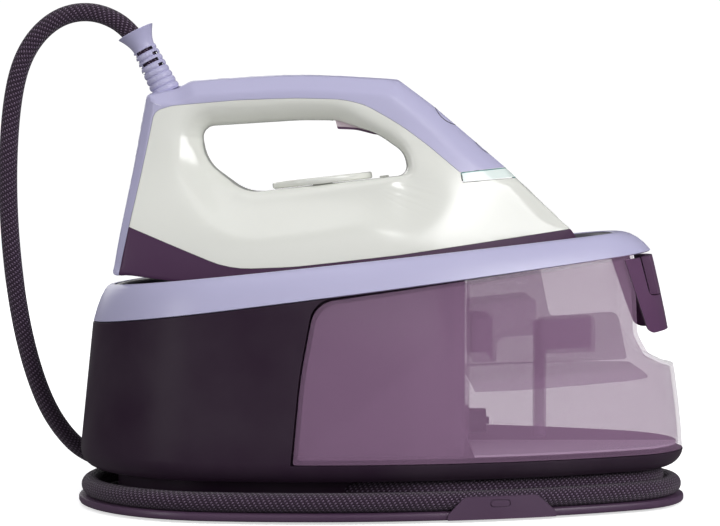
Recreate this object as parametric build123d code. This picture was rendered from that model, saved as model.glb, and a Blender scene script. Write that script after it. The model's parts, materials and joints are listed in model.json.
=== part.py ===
from build123d import *
import os
from math import cos, hypot, radians, sin, sqrt, tan

# Steam generator iron: a base with boiler, pump and removable water tank,
# and an iron that rests on its tilted top and is fed through a steam hose.
# Millimetres. +X towards the nose, +Y to the far side, +Z up.
# The origin is under the middle of the base, on the surface it stands on.

# ---------------------------------------------------------------- base
BASE_REAR = -181.5          # rearmost point of the base plate
BASE_NOSE = 181.5
REAR_R = 97.0               # plan radii of the base outline
NOSE_R = 58.0
SIDE_R = 400.0
PLATE_BOTTOM, PLATE_TOP = 1.5, 6.0
HOUSING_BOTTOM = 22.5
HULL_TOP = 172.0            # the hull is lofted up to here, then cut by the tilted top
# rounded foot of the hull: height, inset
HULL_EDGE = [(22.5, 13.0), (23.6, 8.0), (26.5, 3.8), (30.5, 1.0), (35.0, 0.0)]
LEAN_HEIGHT = 142.0         # over this height the walls lean in by these amounts
LEAN_REAR, LEAN_NOSE, LEAN_REAR_R, LEAN_NOSE_R = 14.5, 23.5, 9.0, 8.0
WALL = 2.6

RING_LOW = (108.7, 0.1266, -173.0)      # underside of the top ring: height, slope, x of that height
RING_HIGH = (131.0, 0.1036, -163.0)     # top edge of the ring
TANK_LID = (123.4, 0.12655, -30.0)      # parting line of the tank and its cover
RING_WALL = 4.5

# ---------------------------------------------------------------- hose
HOSE_D = 11.0
WIND_OUTER = (7.0, 11.7)    # inset from the plate edge and height of each wind
WIND_INNER = (17.4, 16.8)
CORE_INSET = 23.4           # wall that the hose is wound on
# through the wall to its gland
HOSE_ENTRY = [(58.6, -71.7, 16.8), (4.0, -79.4, 16.6), (-46.0, -60.5, 14.5)]

# ---------------------------------------------------------------- tank
TANK_GAP = 0.5
CORE_X, CORE_HALF = 48.0, 52.0      # the housing's middle, which the tank straddles
TANK_WALL = 2.4
TANK_FRONT = 148.0          # wall behind the handle
TANK_SIDE = [(-52.0, 33.5), (-47.3, 82.0), (-42.0, 114.0), (-30.0, 125.6), (142.3, 147.4),
             (TANK_FRONT, 127.0), (TANK_FRONT, 101.0), (153.0, 91.5), (167.5, 84.5), (190.0, 79.5),
             (190.0, 33.5)]

TANK_MOUTH = [(-38.0, 112.0), (-28.0, 123.0), (-28.0, 140.0), (139.6, 160.0), (139.6, 120.0)]

# ---------------------------------------------------------------- iron
IRON_AT = (-110.0, 0.0, 127.5)      # rear end of the soleplate's underside
IRON_TILT = 6.35                    # degrees, nose up
IRON_WALL = 2.4
SOLE_HALF, SOLE_LONG, SOLE_WIDE_AT = 55.0, 229.0, 30.0
SOLE_ARC = ((SOLE_LONG - SOLE_WIDE_AT) ** 2 + SOLE_HALF ** 2) / (2 * SOLE_HALF)
# side outline of the iron in its own frame: along the sole, above the sole
IRON_SIDE = [(-50.0, 14.2), (-17.0, 119.2), (2.0, 121.0), (10.5, 124.6), (75.0, 121.4), (133.0, 111.6),
             (152.7, 93.2), (190.8, 52.6), (226.8, 10.1), (230.0, 3.4), (8.0, 3.4), (-38.0, 14.2)]
OPENING = [(12.2, 97.2), (17.0, 70.5), (36.0, 54.6), (127.0, 54.2), (134.0, 61.0), (129.0, 71.0),
           (117.0, 80.5), (93.0, 91.2), (71.9, 93.5)]
OPENING_ROUND = 4.0
SKIRT_LINE = [(-60.0, 55.5), (28.7, 12.9), (42.0, 10.4), (122.0, 9.8), (240.0, 12.0)]
COVER_LINE = [(-40.0, 105.4), (-14.9, 105.4), (-1.8, 110.6), (38.2, 109.5), (71.3, 106.7), (98.8, 103.0),
              (112.1, 98.1), (131.0, 84.3), (145.5, 70.8), (162.2, 53.5), (240.0, 51.9)]
SECTIONS = [(2.0, 0.0, 1.0), (20.0, 2.5, 0.96), (54.0, 9.0, 0.62), (92.0, 16.0, 0.37), (128.0, 17.0, 0.35)]
DIAL_U, DIAL_R = 81.3, 30.0
SLOPE_NORMAL = (0.729, 0.0, 0.684)      # outward normal of the front slope
BUTTONS = {"steam_boost_button": ((159.0, 0.0, 87.0), 8.2), "mode_button": ((178.7, 0.0, 65.6), 5.6)}
BUTTON_LIFT = 1.0
RELIEF_AT, RELIEF_DIR = (-5.4, 0.0, 119.6), (-0.360, 0.0, 0.933)
RELIEF_LONG = 40.0

STEP_DIR = "parts"
made = {}


def keep(name, *shapes):
    """Stores a node: one solid, or several that share a file."""
    solids = [s for shape in shapes for s in shape.solids()]
    made[name] = solids[0] if len(solids) == 1 else Compound(children=solids)
    return made[name]


# ------------------------------------------------------------ shared shapes
def egg_centres(rear_x, nose_x, rear_r, nose_r):
    """Centres of the rear, nose and side arcs that make the base outline."""
    rear_c, nose_c = rear_x + rear_r, nose_x - nose_r
    to_rear, to_nose = SIDE_R - rear_r, SIDE_R - nose_r
    side_x = (to_rear ** 2 - to_nose ** 2 + nose_c ** 2 - rear_c ** 2) / (2 * (nose_c - rear_c))
    side_y = sqrt(to_rear ** 2 - (side_x - rear_c) ** 2)
    return rear_c, nose_c, side_x, side_y


def egg(rear_x, nose_x, rear_r, nose_r, inset=0.0):
    """Plan outline of the base: rear arc, nose arc and two long side arcs, all tangent."""
    rear_c, nose_c, side_x, side_y = egg_centres(rear_x, nose_x, rear_r, nose_r)
    reach = SIDE_R - inset

    def on_side(centre):
        away = hypot(centre - side_x, side_y)
        return (side_x + (centre - side_x) * reach / away, side_y * reach / away - side_y)

    rear_t, nose_t = on_side(rear_c), on_side(nose_c)
    middle = ((rear_t[0] + nose_t[0]) / 2 - side_x, (rear_t[1] + nose_t[1]) / 2 + side_y)
    scale_up = reach / hypot(*middle)
    side_m = (side_x + middle[0] * scale_up, middle[1] * scale_up - side_y)
    edges = [
        ThreePointArc((rear_t[0], -rear_t[1]), (rear_x + inset, 0), rear_t),
        ThreePointArc(rear_t, side_m, nose_t),
        ThreePointArc(nose_t, (nose_x - inset, 0), (nose_t[0], -nose_t[1])),
        ThreePointArc((nose_t[0], -nose_t[1]), (side_m[0], -side_m[1]), (rear_t[0], -rear_t[1])),
    ]
    return make_face(Curve(edges))


def base_section(z, inset=0.0):
    """The base outline at height z, leaning in as it rises."""
    k = max(0.0, (z - HOUSING_BOTTOM) / LEAN_HEIGHT)
    face = egg(BASE_REAR + LEAN_REAR * k, BASE_NOSE - LEAN_NOSE * k,
               REAR_R - LEAN_REAR_R * k, NOSE_R - LEAN_NOSE_R * k, inset)
    return Pos(0, 0, z) * face


def base_hull(bottom, inset=0.0, top=HULL_TOP):
    """Solid of the base's outer form from a height up, moved in by inset."""
    levels = [(z, edge) for z, edge in HULL_EDGE if bottom < z < top]
    if bottom <= HULL_EDGE[0][0]:
        first = HULL_EDGE[0][1]
    elif bottom < HULL_EDGE[-1][0]:
        spans = zip(HULL_EDGE, HULL_EDGE[1:])
        (z0, i0), (z1, i1) = [span for span in spans if span[0][0] <= bottom <= span[1][0]][0]
        first = i0 + (i1 - i0) * (bottom - z0) / (z1 - z0)
    else:
        first = 0.0
    levels = [(bottom, first)] + levels + [(top, 0.0)]
    return loft([base_section(z, inset + edge) for z, edge in levels], ruled=True)


def prism(points, inset=0.0, half=130.0, round_by=0.0):
    """Solid of a side-view outline, run through the width; a negative inset grows it."""
    face = make_face(Polyline(*points, close=True))
    if round_by:
        face = fillet(face.vertices(), round_by)
    if inset:
        face = offset(face, amount=-inset, kind=Kind.INTERSECTION)
    return extrude(Plane.XZ * face, half, both=True)


def under(line, low=-60.0):
    """Solid of everything below a line of side-view points."""
    return prism([*line, (line[-1][0], low), (line[0][0], low)])


def tilted_line(height, slope, start):
    """Two side-view points of a straight edge that has this height at x = start."""
    return [(x, height + (x - start) * slope) for x in (-220.0, 220.0)]


def rod(start, end, radius):
    """Round bar between two points."""
    axis = Vector(*end) - Vector(*start)
    return Plane(origin=start, z_dir=axis) * extrude(Circle(radius), axis.length)


def tube_path(points, factor=0.45):
    """Straight runs joined by arcs as large as the runs allow, with the radii used."""
    spots = [Vector(*p) for p in points]
    radii = []
    for a, b, c in zip(spots, spots[1:], spots[2:]):
        half_turn = radians((b - a).get_angle(c - b)) / 2
        radii.append(factor * min((b - a).length, (c - b).length) / tan(half_turn))
    return FilletPolyline(*points, radius=radii), radii


def pipe(points, outer, bore=0.0):
    """Bent tube with rounded corners."""
    path, _ = tube_path(points)
    start = Plane(origin=path @ 0, z_dir=path % 0)
    ring = Circle(outer) - Circle(bore) if bore else Circle(outer)
    return sweep(start * ring, path=path)


def in_iron(shape):
    """Moves a shape from the iron's own frame to its place on the base."""
    return Location(IRON_AT, (0, -IRON_TILT, 0)) * shape


# ------------------------------------------------------------ base pieces
DESCALE_X, DESCALE_Z = -84.0, 52.0
DOCK_Y, DOCK_Z = 24.0, 46.0
PUMP_X, PUMP_Y, PUMP_Z = -7.0, -12.0, 48.0
STEAM_DROP = (-61.0, -54.8)         # where the steam pipe passes the housing's floor
SCREW_SPOTS = [(-120, -38), (-120, 38), (0, -58), (0, 58), (125, 0)]
FOOT_SPOTS = [(-125, -55), (-125, 55), (85, -52), (85, 52)]
PLATE_HOLE, SCREW_R, SPIGOT_R = 2.2, 2.0, 2.9
CLIP_SIDE = [(37.0, 5.0), (46.0, 15.4), (88.0, 15.4), (97.0, 5.0)]


def base_plate():
    outline = egg(BASE_REAR, BASE_NOSE, REAR_R, NOSE_R)
    plate = Pos(0, 0, PLATE_BOTTOM) * extrude(outline, PLATE_TOP - PLATE_BOTTOM)
    plate = fillet(plate.edges().group_by(Axis.Z)[0], 1.2)
    outer = extrude(egg(BASE_REAR - 1.2, BASE_NOSE + 1.2, REAR_R + 1.2, NOSE_R + 1.2), 20)
    inner = extrude(egg(BASE_REAR, BASE_NOSE, REAR_R, NOSE_R, 1.2), 20)
    clip = (outer - inner) & prism(CLIP_SIDE) & Pos(60, -75, 10) * Box(120, 120, 40)
    plate += clip
    for x, y in SCREW_SPOTS:
        plate -= Pos(x, y, 3) * Cylinder(PLATE_HOLE, 10)
    for x, y in FOOT_SPOTS:
        plate -= Pos(x, y, 3) * Cylinder(SPIGOT_R + 0.1, 10)
    keep("base_plate", plate)
    feet = [Pos(x, y, PLATE_BOTTOM / 2) * Cylinder(9, PLATE_BOTTOM) + Pos(x, y, 2.7) * Cylinder(SPIGOT_R, 2.6)
            for x, y in FOOT_SPOTS]
    keep("rubber_feet", *feet)


def channel_core():
    """Wall between base plate and housing that the hose is wound on, with its screw posts."""
    outline = [BASE_REAR, BASE_NOSE, REAR_R, NOSE_R]
    high = HOUSING_BOTTOM - PLATE_TOP
    wall = extrude(egg(*outline, CORE_INSET), high) - extrude(egg(*outline, CORE_INSET + WALL), high)
    wall = Pos(0, 0, PLATE_TOP) * wall
    for x, y in SCREW_SPOTS:
        wall += Pos(x, y, PLATE_TOP + high / 2) * (Cylinder(5.5, high) - Cylinder(PLATE_HOLE, high))
    wall -= pipe(HOSE_ENTRY, HOSE_D / 2 + 0.8)
    keep("channel_core", wall)
    end = Vector(*HOSE_ENTRY[-1])
    along = (end - Vector(*HOSE_ENTRY[-2])).normalized()
    block = Pos(*STEAM_DROP, 13.4) * Box(14, 14, 13)
    keep("hose_gland", rod(tuple(end), tuple(end + along * 12), 6.2) + block)
    screws = [Pos(x, y, 13.5) * Cylinder(SCREW_R, 19) + Pos(x, y, 3.2) * Cylinder(1.9, 2.0)
              for x, y in SCREW_SPOTS]
    keep("base_screws", *screws)


def tank_space(grow=0.0):
    """The room that the tank fills: its side outline, less the housing's middle."""
    core = Pos((CORE_X - grow - 150) / 2, 0, 90) * Box(CORE_X - grow + 150, 2 * (CORE_HALF - grow), 200)
    return prism([*TANK_SIDE[:4], (220.0, 157.2), (220.0, 33.5)], inset=-(TANK_GAP + grow)) - core


def rear_housing():
    """Moulded housing with the tank's tray and the partition walls behind the tank."""
    below = under(tilted_line(*RING_LOW))
    solid = (base_hull(HOUSING_BOTTOM) & below) - tank_space()
    hollow = base_hull(HOUSING_BOTTOM + WALL, WALL) - tank_space(WALL)
    solid -= hollow
    for x, y in SCREW_SPOTS:
        solid -= Pos(x, y, HOUSING_BOTTOM) * Cylinder(PLATE_HOLE, 12)
    solid -= rod((-175, 40, 60), (-140, 40, 60), 6.2)
    solid -= Pos(*STEAM_DROP, HOUSING_BOTTOM) * Cylinder(3.4, 20)
    solid -= rod((DESCALE_X, 60, DESCALE_Z), (DESCALE_X, 110, DESCALE_Z), 11.6)
    solid -= rod((30, DOCK_Y, DOCK_Z), (60, DOCK_Y, DOCK_Z), 5.2)
    keep("rear_housing", *[s for s in solid.solids() if s.volume > 50])


def top_ring():
    band = base_hull(60, 0.3) - base_hull(60, RING_WALL)
    keep("top_ring", (band & under(tilted_line(*RING_HIGH))) - under(tilted_line(*RING_LOW)))


DECK_LOW, DECK_HIGH = -4.6, -2.0
PAD_SPOTS = [(18, -30, 26, 12), (18, 30, 26, 12), (105, -34, 30, 10), (105, 34, 30, 10), (188, 0, 24, 12)]


def rest_deck():
    """Sheet inside the ring, parallel to the soleplate, with the pads that carry the iron."""
    slab = in_iron(Pos(80, 0, (DECK_LOW + DECK_HIGH) / 2) * Box(420, 260, DECK_HIGH - DECK_LOW))
    keep("iron_rest_deck", slab & base_hull(60, RING_WALL + 0.1))
    pads = [in_iron(Pos(u, v, DECK_HIGH / 2) * fillet(Box(long, wide, -DECK_HIGH).edges() | Axis.Z, 4.5))
            for u, v, long, wide in PAD_SPOTS]
    keep("rest_pads", *pads)


# ------------------------------------------------------------ boiler and pump
BOILER_X, BOILER_R, BOILER_LOW, BOILER_HIGH = -95.0, 50.0, 38.0, 88.0


def boiler():
    at = Pos(BOILER_X, 0, 0)
    tall = BOILER_HIGH - BOILER_LOW
    cup = Pos(0, 0, BOILER_LOW + tall / 2) * Cylinder(BOILER_R, tall)
    cup -= Pos(0, 0, BOILER_LOW + 2 + tall / 2) * Cylinder(BOILER_R - 2, tall)
    keep("boiler_body", at * cup)
    lid = Pos(0, 0, BOILER_HIGH + 1.5) * Cylinder(BOILER_R + 4, 3)
    lid += Pos(0, 0, BOILER_HIGH + 6) * Cone(BOILER_R - 4, BOILER_R - 16, 6)
    lid -= Pos(0, 0, BOILER_HIGH + 2.4) * Cone(BOILER_R - 5, BOILER_R - 18, 5)
    for x, y in ((-25, 0), (0, 0), (22, 18), (22, -18)):
        lid -= Pos(x, y, BOILER_HIGH + 6) * Cylinder(3.1, 12)
    keep("boiler_cover", at * lid)
    ring = Pos(0, 0, BOILER_LOW - 4) * Torus(34, 3.9)
    keep("boiler_heater", at * ring)
    around = ((-44, 0), (44, 0), (0, 44), (0, -44))
    brackets = [Pos(BOILER_X + x, y, 31.6) * Box(11, 11, 12.8) for x, y in around]
    keep("boiler_brackets", *brackets)
    seal = Cylinder(BOILER_R + 3, 0.8) - Cylinder(BOILER_R - 3.6, 0.9)
    keep("boiler_gasket", at * Pos(0, 0, BOILER_HIGH + 3.4) * seal)
    top = BOILER_HIGH + 9
    sensor = Pos(-25, 0, top + 4) * Cylinder(8, 8) + Pos(-25, 0, top - 3) * Cylinder(3, 6)
    keep("boiler_thermostat", at * sensor)
    valve = Pos(0, 0, top + 5) * extrude(RegularPolygon(7, 6), 10, both=False)
    keep("safety_valve", at * Pos(0, 0, -5) * valve + at * Pos(0, 0, top - 3) * Cylinder(3, 6))
    block = Pos(22, 18, top + 6) * Box(16, 16, 12)
    keep("steam_valve_body", at * block + at * Pos(22, 18, top - 3) * Cylinder(3, 6))
    keep("steam_valve_coil", at * Pos(22, 18, top + 18) * Box(20, 20, 12))


def pump():
    at = Pos(PUMP_X, PUMP_Y, PUMP_Z) * Rot(0, 90, 0)
    keep("pump_body", at * Cylinder(12, 66))
    keep("pump_coil", at * (Cylinder(21, 34) - Cylinder(12.1, 36)))
    mounts = [Pos(PUMP_X + x, PUMP_Y, 30.9) * Box(8, 20, 11.4) - at * Cylinder(12.1, 70) for x in (-26, 26)]
    keep("pump_mounts", *mounts)
    keep("control_board", Pos(-5, 38, 70) * Box(70, 1.6, 56))
    sizes = ((-25, 60, 18, 14), (0, 82, 22, 12), (20, 58, 12, 12))
    parts = [Pos(x, 34.5, z) * Box(w, 5.2, h) for x, z, w, h in sizes]
    keep("board_components", *parts)


def pipes():
    water = pipe([(-34, -12, 60.2), (-34, -13, 84), (-37, -18, 106), (-60, -18, 114), (-73, -18, 110),
                  (-73, -18, 91)], 2.6, 1.4)
    keep("water_pipe", water)
    steam = pipe([(BOILER_X + 30.5, 18, 103), (-52, 18, 103), (-50, -20, 102), (-58.8, -44, 98), (-60, -52, 80),
                  (*STEAM_DROP, 50), (*STEAM_DROP, 20.2)], 2.9, 1.7)
    keep("steam_pipe", steam)
    feed = pipe([(PUMP_X + 33.2, PUMP_Y, PUMP_Z), (39, PUMP_Y, PUMP_Z), (39, DOCK_Y - 8.2, DOCK_Z)], 2.4, 1.4)
    keep("feed_hose", feed)


def ports():
    """Glands and sockets in the housing walls."""
    gland = rod((-185, 40, 60), (-148, 40, 60), 6.1) & base_hull(30, -2.0)
    gland += rod((-160, 40, 60), (-152, 40, 60), 8.5)
    gland -= rod((-190, 40, 60), (-140, 40, 60), 3.4)
    keep("mains_cord_gland", *[s for s in gland.solids() if s.volume > 30])
    cap_at = Pos(DESCALE_X, 0, DESCALE_Z)
    seat = rod((0, 74, 0), (0, 90.5, 0), 8.8) + rod((0, 86.5, 0), (0, 90.5, 0), 11.4)
    seat -= rod((0, 73, 0), (0, 91, 0), 5.1)
    keep("descale_socket", cap_at * seat)
    cap = rod((0, 90.8, 0), (0, 98.6, 0), 10.9) + rod((0, 80, 0), (0, 90.8, 0), 5.05)
    cap -= Pos(0, 97.6, 0) * (Box(24, 4, 24) - Box(5, 6, 26))
    keep("descale_cap", cap_at * cap)
    dock = rod((51.5, DOCK_Y, DOCK_Z), (38.5, DOCK_Y, DOCK_Z), 5.0)
    dock += Pos(40.2, DOCK_Y, DOCK_Z) * Box(8.4, 16, 16)
    dock -= rod((53, DOCK_Y, DOCK_Z), (39, DOCK_Y, DOCK_Z), 2.6)
    dock -= rod((39, DOCK_Y, DOCK_Z), (39, DOCK_Y - 9, DOCK_Z), 1.4)
    keep("tank_dock_pipe", dock)


# ------------------------------------------------------------ water tank
SHELF_LOW, SHELF_HIGH = 70.0, 72.0
SUCTION = (98.0, -6.0)


def tank_form(inset=0.0, open_top=False):
    """Solid of the tank's outer form, moved in by inset, with its top let through if open."""
    core = Pos((CORE_X + inset + TANK_GAP - 150) / 2, 0, 90)
    core *= Box(CORE_X + inset + TANK_GAP + 150, 2 * (CORE_HALF + inset + TANK_GAP), 200)
    side = prism(TANK_SIDE, inset=inset)
    if open_top:
        side += prism(TANK_MOUTH)
    return (base_hull(25, inset + 0.4) & side) - core


def tank():
    lid_line = tilted_line(*TANK_LID)
    outer = tank_form()
    shell = (outer & under(lid_line)) - tank_form(TANK_WALL, open_top=True)
    shell -= rod((40, DOCK_Y, DOCK_Z), (60, DOCK_Y, DOCK_Z), 7.6)
    keep("water_tank", *[s for s in shell.solids() if s.volume > 200])
    lid = (outer - under(lid_line)) - fill_block(8.0)
    keep("tank_cover", *[s for s in lid.solids() if s.volume > 50])
    keep("fill_door", (outer - under(lid_line)) & fill_block(7.7))
    inner = tank_form(TANK_WALL + 0.2)
    shelf = inner & Pos(120, 0, (SHELF_LOW + SHELF_HIGH) / 2) * Box(126, 200, SHELF_HIGH - SHELF_LOW)
    shelf -= Pos(*SUCTION, SHELF_LOW) * Cylinder(4.3, 20)
    keep("tank_baffle", shelf)
    stem = Pos(*SUCTION, 80) * (Cylinder(4.0, 80) - Cylinder(2.8, 90))
    keep("suction_tube", stem)
    valve = rod((48.7, DOCK_Y, DOCK_Z), (64.0, DOCK_Y, DOCK_Z), 7.4)
    valve += rod((51.4, DOCK_Y, DOCK_Z), (53.4, DOCK_Y, DOCK_Z), 9.6)
    valve -= rod((48.0, DOCK_Y, DOCK_Z), (62.0, DOCK_Y, DOCK_Z), 5.6)
    valve -= rod((61.0, DOCK_Y, DOCK_Z), (66.0, DOCK_Y, DOCK_Z), 2.4)
    keep("tank_valve", valve)
    poppet = rod((52.2, DOCK_Y, DOCK_Z), (54.6, DOCK_Y, DOCK_Z), 5.0)
    poppet += rod((54.0, DOCK_Y, DOCK_Z), (66.0, DOCK_Y, DOCK_Z), 2.3)
    keep("tank_valve_poppet", poppet)
    box = Pos(SUCTION[0] + 17, SUCTION[1], 107) * (Box(26, 24, 20) - Box(22, 20, 24))
    keep("filter_box", box)


def fill_block(half):
    """Upright block where the filling door sits in the tank's cover."""
    return Pos(115, 0, 140) * Box(2 * half + 22, 2 * half + 18, 60)


HANDLE_SIDE = [(143.2, 146.4), (155.4, 105.0), (190.0, 107.0), (190.0, 152.2)]
BUTTON_SIDE = [(149.6, 146.7), (157.0, 126.0), (190.0, 128.0), (190.0, 151.7)]
SLOT_SIDE = [(144.6, 147.6), (151.6, 125.1), (190.0, 127.1), (190.0, 152.6)]       # leaves room for the press
BUTTON_HALF, BUTTON_GAP = 20.0, 0.8


def tank_handle():
    """Hooked front grip of the tank, with the release button in its upper half."""
    band = (base_hull(60, 0.0) - base_hull(60, 4.2)) & prism(HANDLE_SIDE, round_by=1.5)
    slot = prism(SLOT_SIDE) & Pos(165, 0, 140) * Box(60, 2 * (BUTTON_HALF + BUTTON_GAP), 60)
    sides = [prism([(TANK_FRONT, 126.0), (TANK_FRONT, 106.0), (162.0, 107.0), (158.0, 126.0)])
             & base_hull(60, 3.0) & Pos(155, side * 32, 120) * Box(40, 10, 60) for side in (-1, 1)]
    grip = band - slot
    for piece in sides:
        grip += piece
    keep("tank_handle", *[s for s in grip.solids() if s.volume > 50])
    button = (base_hull(60, 0.0) - base_hull(60, 3.4)) & prism(BUTTON_SIDE, round_by=1.5)
    keep("tank_release_button", button & Pos(165, 0, 140) * Box(60, 2 * BUTTON_HALF, 60))


# ------------------------------------------------------------ iron
def sole_face(inset=0.0, rear=0.0, rear_half=51.0, wide=1.0):
    """Pointed-arch plan of the iron; rear and its half width set the heel end."""
    half = (SOLE_HALF - inset) * wide
    nose = SOLE_LONG - 1.15 * inset
    radius = ((nose - SOLE_WIDE_AT) ** 2 + half ** 2) / (2 * half)
    turn = (nose - SOLE_WIDE_AT) / radius / 2 * 1.02
    mid = (SOLE_WIDE_AT + radius * sin(turn), half - radius * (1 - cos(turn)))
    back = (rear_half - inset) * wide
    edges = [
        ThreePointArc((SOLE_WIDE_AT, half), mid, (nose, 0)),
        ThreePointArc((nose, 0), (mid[0], -mid[1]), (SOLE_WIDE_AT, -half)),
        Polyline((SOLE_WIDE_AT, -half), (rear + inset, -back), (rear + inset, back), (SOLE_WIDE_AT, half)),
    ]
    face = make_face(Curve(edges))
    nose_corner = face.vertices().sort_by(Axis.X)[-1]
    face = fillet(nose_corner, 6.0 * wide)
    return fillet(face.vertices().sort_by(Axis.X)[:2], min(14.0, 0.6 * back))


def width_body(inset=0.0):
    """Solid that gives the iron its width at each height."""
    faces = [Pos(0, 0, w) * sole_face(inset + extra, -54.0, 40.0, wide) for w, extra, wide in SECTIONS]
    return loft(faces, ruled=True)


def iron_form(inset=0.0):
    """Solid of the iron's outer form, with the handle opening, moved in by inset."""
    return (width_body(inset) & prism(IRON_SIDE, inset=inset)) - prism(OPENING, -inset, round_by=OPENING_ROUND)


def soleplate():
    plate = extrude(sole_face(1.0), 2.2)
    plate = fillet(plate.edges().group_by(Axis.Z)[0], 0.8)
    holes = []
    for row, (start, step) in enumerate(((60.0, 15.0), (74.0, 15.0))):
        for i in range(9 - row):
            u = start + step * i
            edge = sqrt(SOLE_ARC ** 2 - (u - SOLE_WIDE_AT) ** 2) - SOLE_ARC + SOLE_HALF
            v = edge - 9.0 - 9.0 * row
            if v > 3.0:
                holes += [(u, v), (u, -v)]
    for u, v in holes:
        plate -= Pos(u, v, 1) * Cylinder(1.4, 6)
    keep("soleplate", in_iron(plate))
    casting = Pos(0, 0, 2.2) * (extrude(sole_face(9.0), 6.0) - Pos(88, 0, 5) * Box(120, 30, 4))
    for u, v in holes:
        casting -= Pos(u, v, 4) * Cylinder(1.4, 16)
    keep("sole_casting", in_iron(casting))
    element = pipe([(14, 22, 0), (80, 27, 0), (140, 20, 0), (192, 5, 0), (192, -5, 0), (140, -20, 0), (80, -27, 0),
                    (14, -22, 0)], 2.9)
    keep("sole_heating_element", in_iron(Pos(0, 0, 11.2) * element))
    keep("steam_chamber_cover", in_iron(Pos(0, 0, 14.1) * extrude(sole_face(13.0), 1.6)))
    keep("iron_thermostat", in_iron(Pos(60, 0, 19.7) * Cylinder(9, 8)))


def iron_shells():
    """The iron's covers, cut from one shell along their parting lines."""
    shell = iron_form(0.0) - iron_form(IRON_WALL)
    skirt_part, cover_part = under(SKIRT_LINE), under(COVER_LINE)
    heel = prism([(-60.0, 12.0), (-43.0, 12.0), (-9.5, 118.0), (-9.5, 140.0), (-60.0, 140.0)])
    window = prism([(163.0, 52.2), (163.5, 46.4), (205.0, 45.4), (205.0, 51.6)])
    sole_mouth = Pos(0, 0, -2.0) * extrude(sole_face(7.6), 10.0)
    skirt = ((shell & skirt_part) - heel) - sole_mouth
    keep("skirt", in_iron(biggest(skirt)))
    white = (shell & cover_part) - skirt_part - heel - window
    trigger_slot = prism(TRIGGER_SIDE, inset=-TRIGGER_GAP, half=TRIGGER_HALF + TRIGGER_GAP)
    white -= trigger_slot
    white -= Pos(DIAL_U, 0, 50) * Cylinder(6.0, 20)
    white -= Plane(origin=TRIGGER_PIN, z_dir=(0, 1, 0)) * Cylinder(1.25, 60)
    keep("iron_body", in_iron(biggest(white)))
    cover = (shell - cover_part) - heel
    for spot, radius in BUTTONS.values():
        cover -= Plane(origin=spot, z_dir=SLOPE_NORMAL) * Cylinder(radius + 0.35, 16)
    relief_hole = Plane(origin=RELIEF_AT, z_dir=RELIEF_DIR) * Cylinder(6.9, 20)
    keep("top_cover", in_iron(biggest(cover - relief_hole)))
    keep("heel_cover", in_iron(biggest((shell & heel) - sole_mouth - relief_hole)))
    keep("light_window", in_iron(biggest(shell & window)))


def biggest(shape):
    """The main solid of a cut, without crumbs."""
    return max(shape.solids(), key=lambda s: s.volume)


TRIGGER_SIDE = [(92.6, 94.6), (93.6, 86.2), (104.0, 84.4), (116.0, 79.6), (121.0, 80.5), (121.0, 86.0),
                (104.0, 94.6)]
TRIGGER_PIN = (117.6, 0.0, 83.4)
TRIGGER_HALF, TRIGGER_GAP = 7.0, 0.6


def controls():
    dial = Pos(DIAL_U, 0, 56.7) * fillet(Cylinder(DIAL_R, 4.0).edges(), 1.2)
    dial += Pos(DIAL_U, 0, 50.5) * Cylinder(5.93, 8.6)
    keep("temperature_dial", in_iron(dial))
    keep("dial_pointer", in_iron(Pos(118.5, 0, 54.95) * Box(5.5, 2.4, 1.2)))
    pin_hole = Plane(origin=TRIGGER_PIN, z_dir=(0, 1, 0)) * Cylinder(1.25, 40)
    trigger = prism(TRIGGER_SIDE, half=TRIGGER_HALF, round_by=1.0) - pin_hole
    keep("steam_trigger", in_iron(trigger))
    keep("trigger_pin", in_iron(Plane(origin=TRIGGER_PIN, z_dir=(0, 1, 0)) * Cylinder(1.2, 30)))
    keep("micro_switch", in_iron(Pos(104, 0, 100.6) * Box(16, 6, 6)))
    for name, (spot, radius) in BUTTONS.items():
        place = Plane(origin=spot, z_dir=SLOPE_NORMAL)
        button = place * Pos(0, 0, BUTTON_LIFT - 3.0) * fillet(Cylinder(radius, 6.0).edges(), 0.8)
        keep(name, in_iron(button))
    board = Plane(origin=(163.0, 0, 64.0), z_dir=SLOPE_NORMAL) * Box(36, 16, 1.6)
    keep("iron_board", in_iron(board))


def strain_relief():
    """Ribbed sleeve where the hose enters the iron, opening into a bell."""
    r = HOSE_D / 2 + 0.4
    profile = [(r, -9.5), (9.0, -9.5), (9.0, -7.0), (6.6, -7.0), (6.6, 4.5), (7.7, 4.5), (6.9, 26.0), (8.2, 33.0),
               (11.3, RELIEF_LONG), (10.2, RELIEF_LONG), (7.4, 33.5), (r, 24.0)]
    sleeve = revolve(Plane.XZ * make_face(Polyline(*profile, close=True)), Axis.Z)
    for angle in (0, 180):
        for height in (14.0, 21.0):
            sleeve -= Rot(0, 0, angle + 90) * Pos(8, 0, height) * Box(8, 6.5, 1.8)
    keep("hose_strain_relief", in_iron(Plane(origin=RELIEF_AT, z_dir=RELIEF_DIR) * sleeve))


# ------------------------------------------------------------ steam hose
FREE_HOSE = [(-134.6, 0.0, 257.3), (-146.8, 0.0, 280.9), (-169.5, 0.0, 294.6), (-194.0, 0.0, 291.5),
             (-213.5, 0.5, 271.5), (-222.3, 1.5, 239.4), (-225.4, 4.0, 183.0), (-221.5, 12.0, 122.0),
             (-213.5, 25.0, 76.0), (-202.0, 41.0, 42.5), (-183.5, 61.5, 18.5), (-150.0, 80.0, 11.7)]


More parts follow.
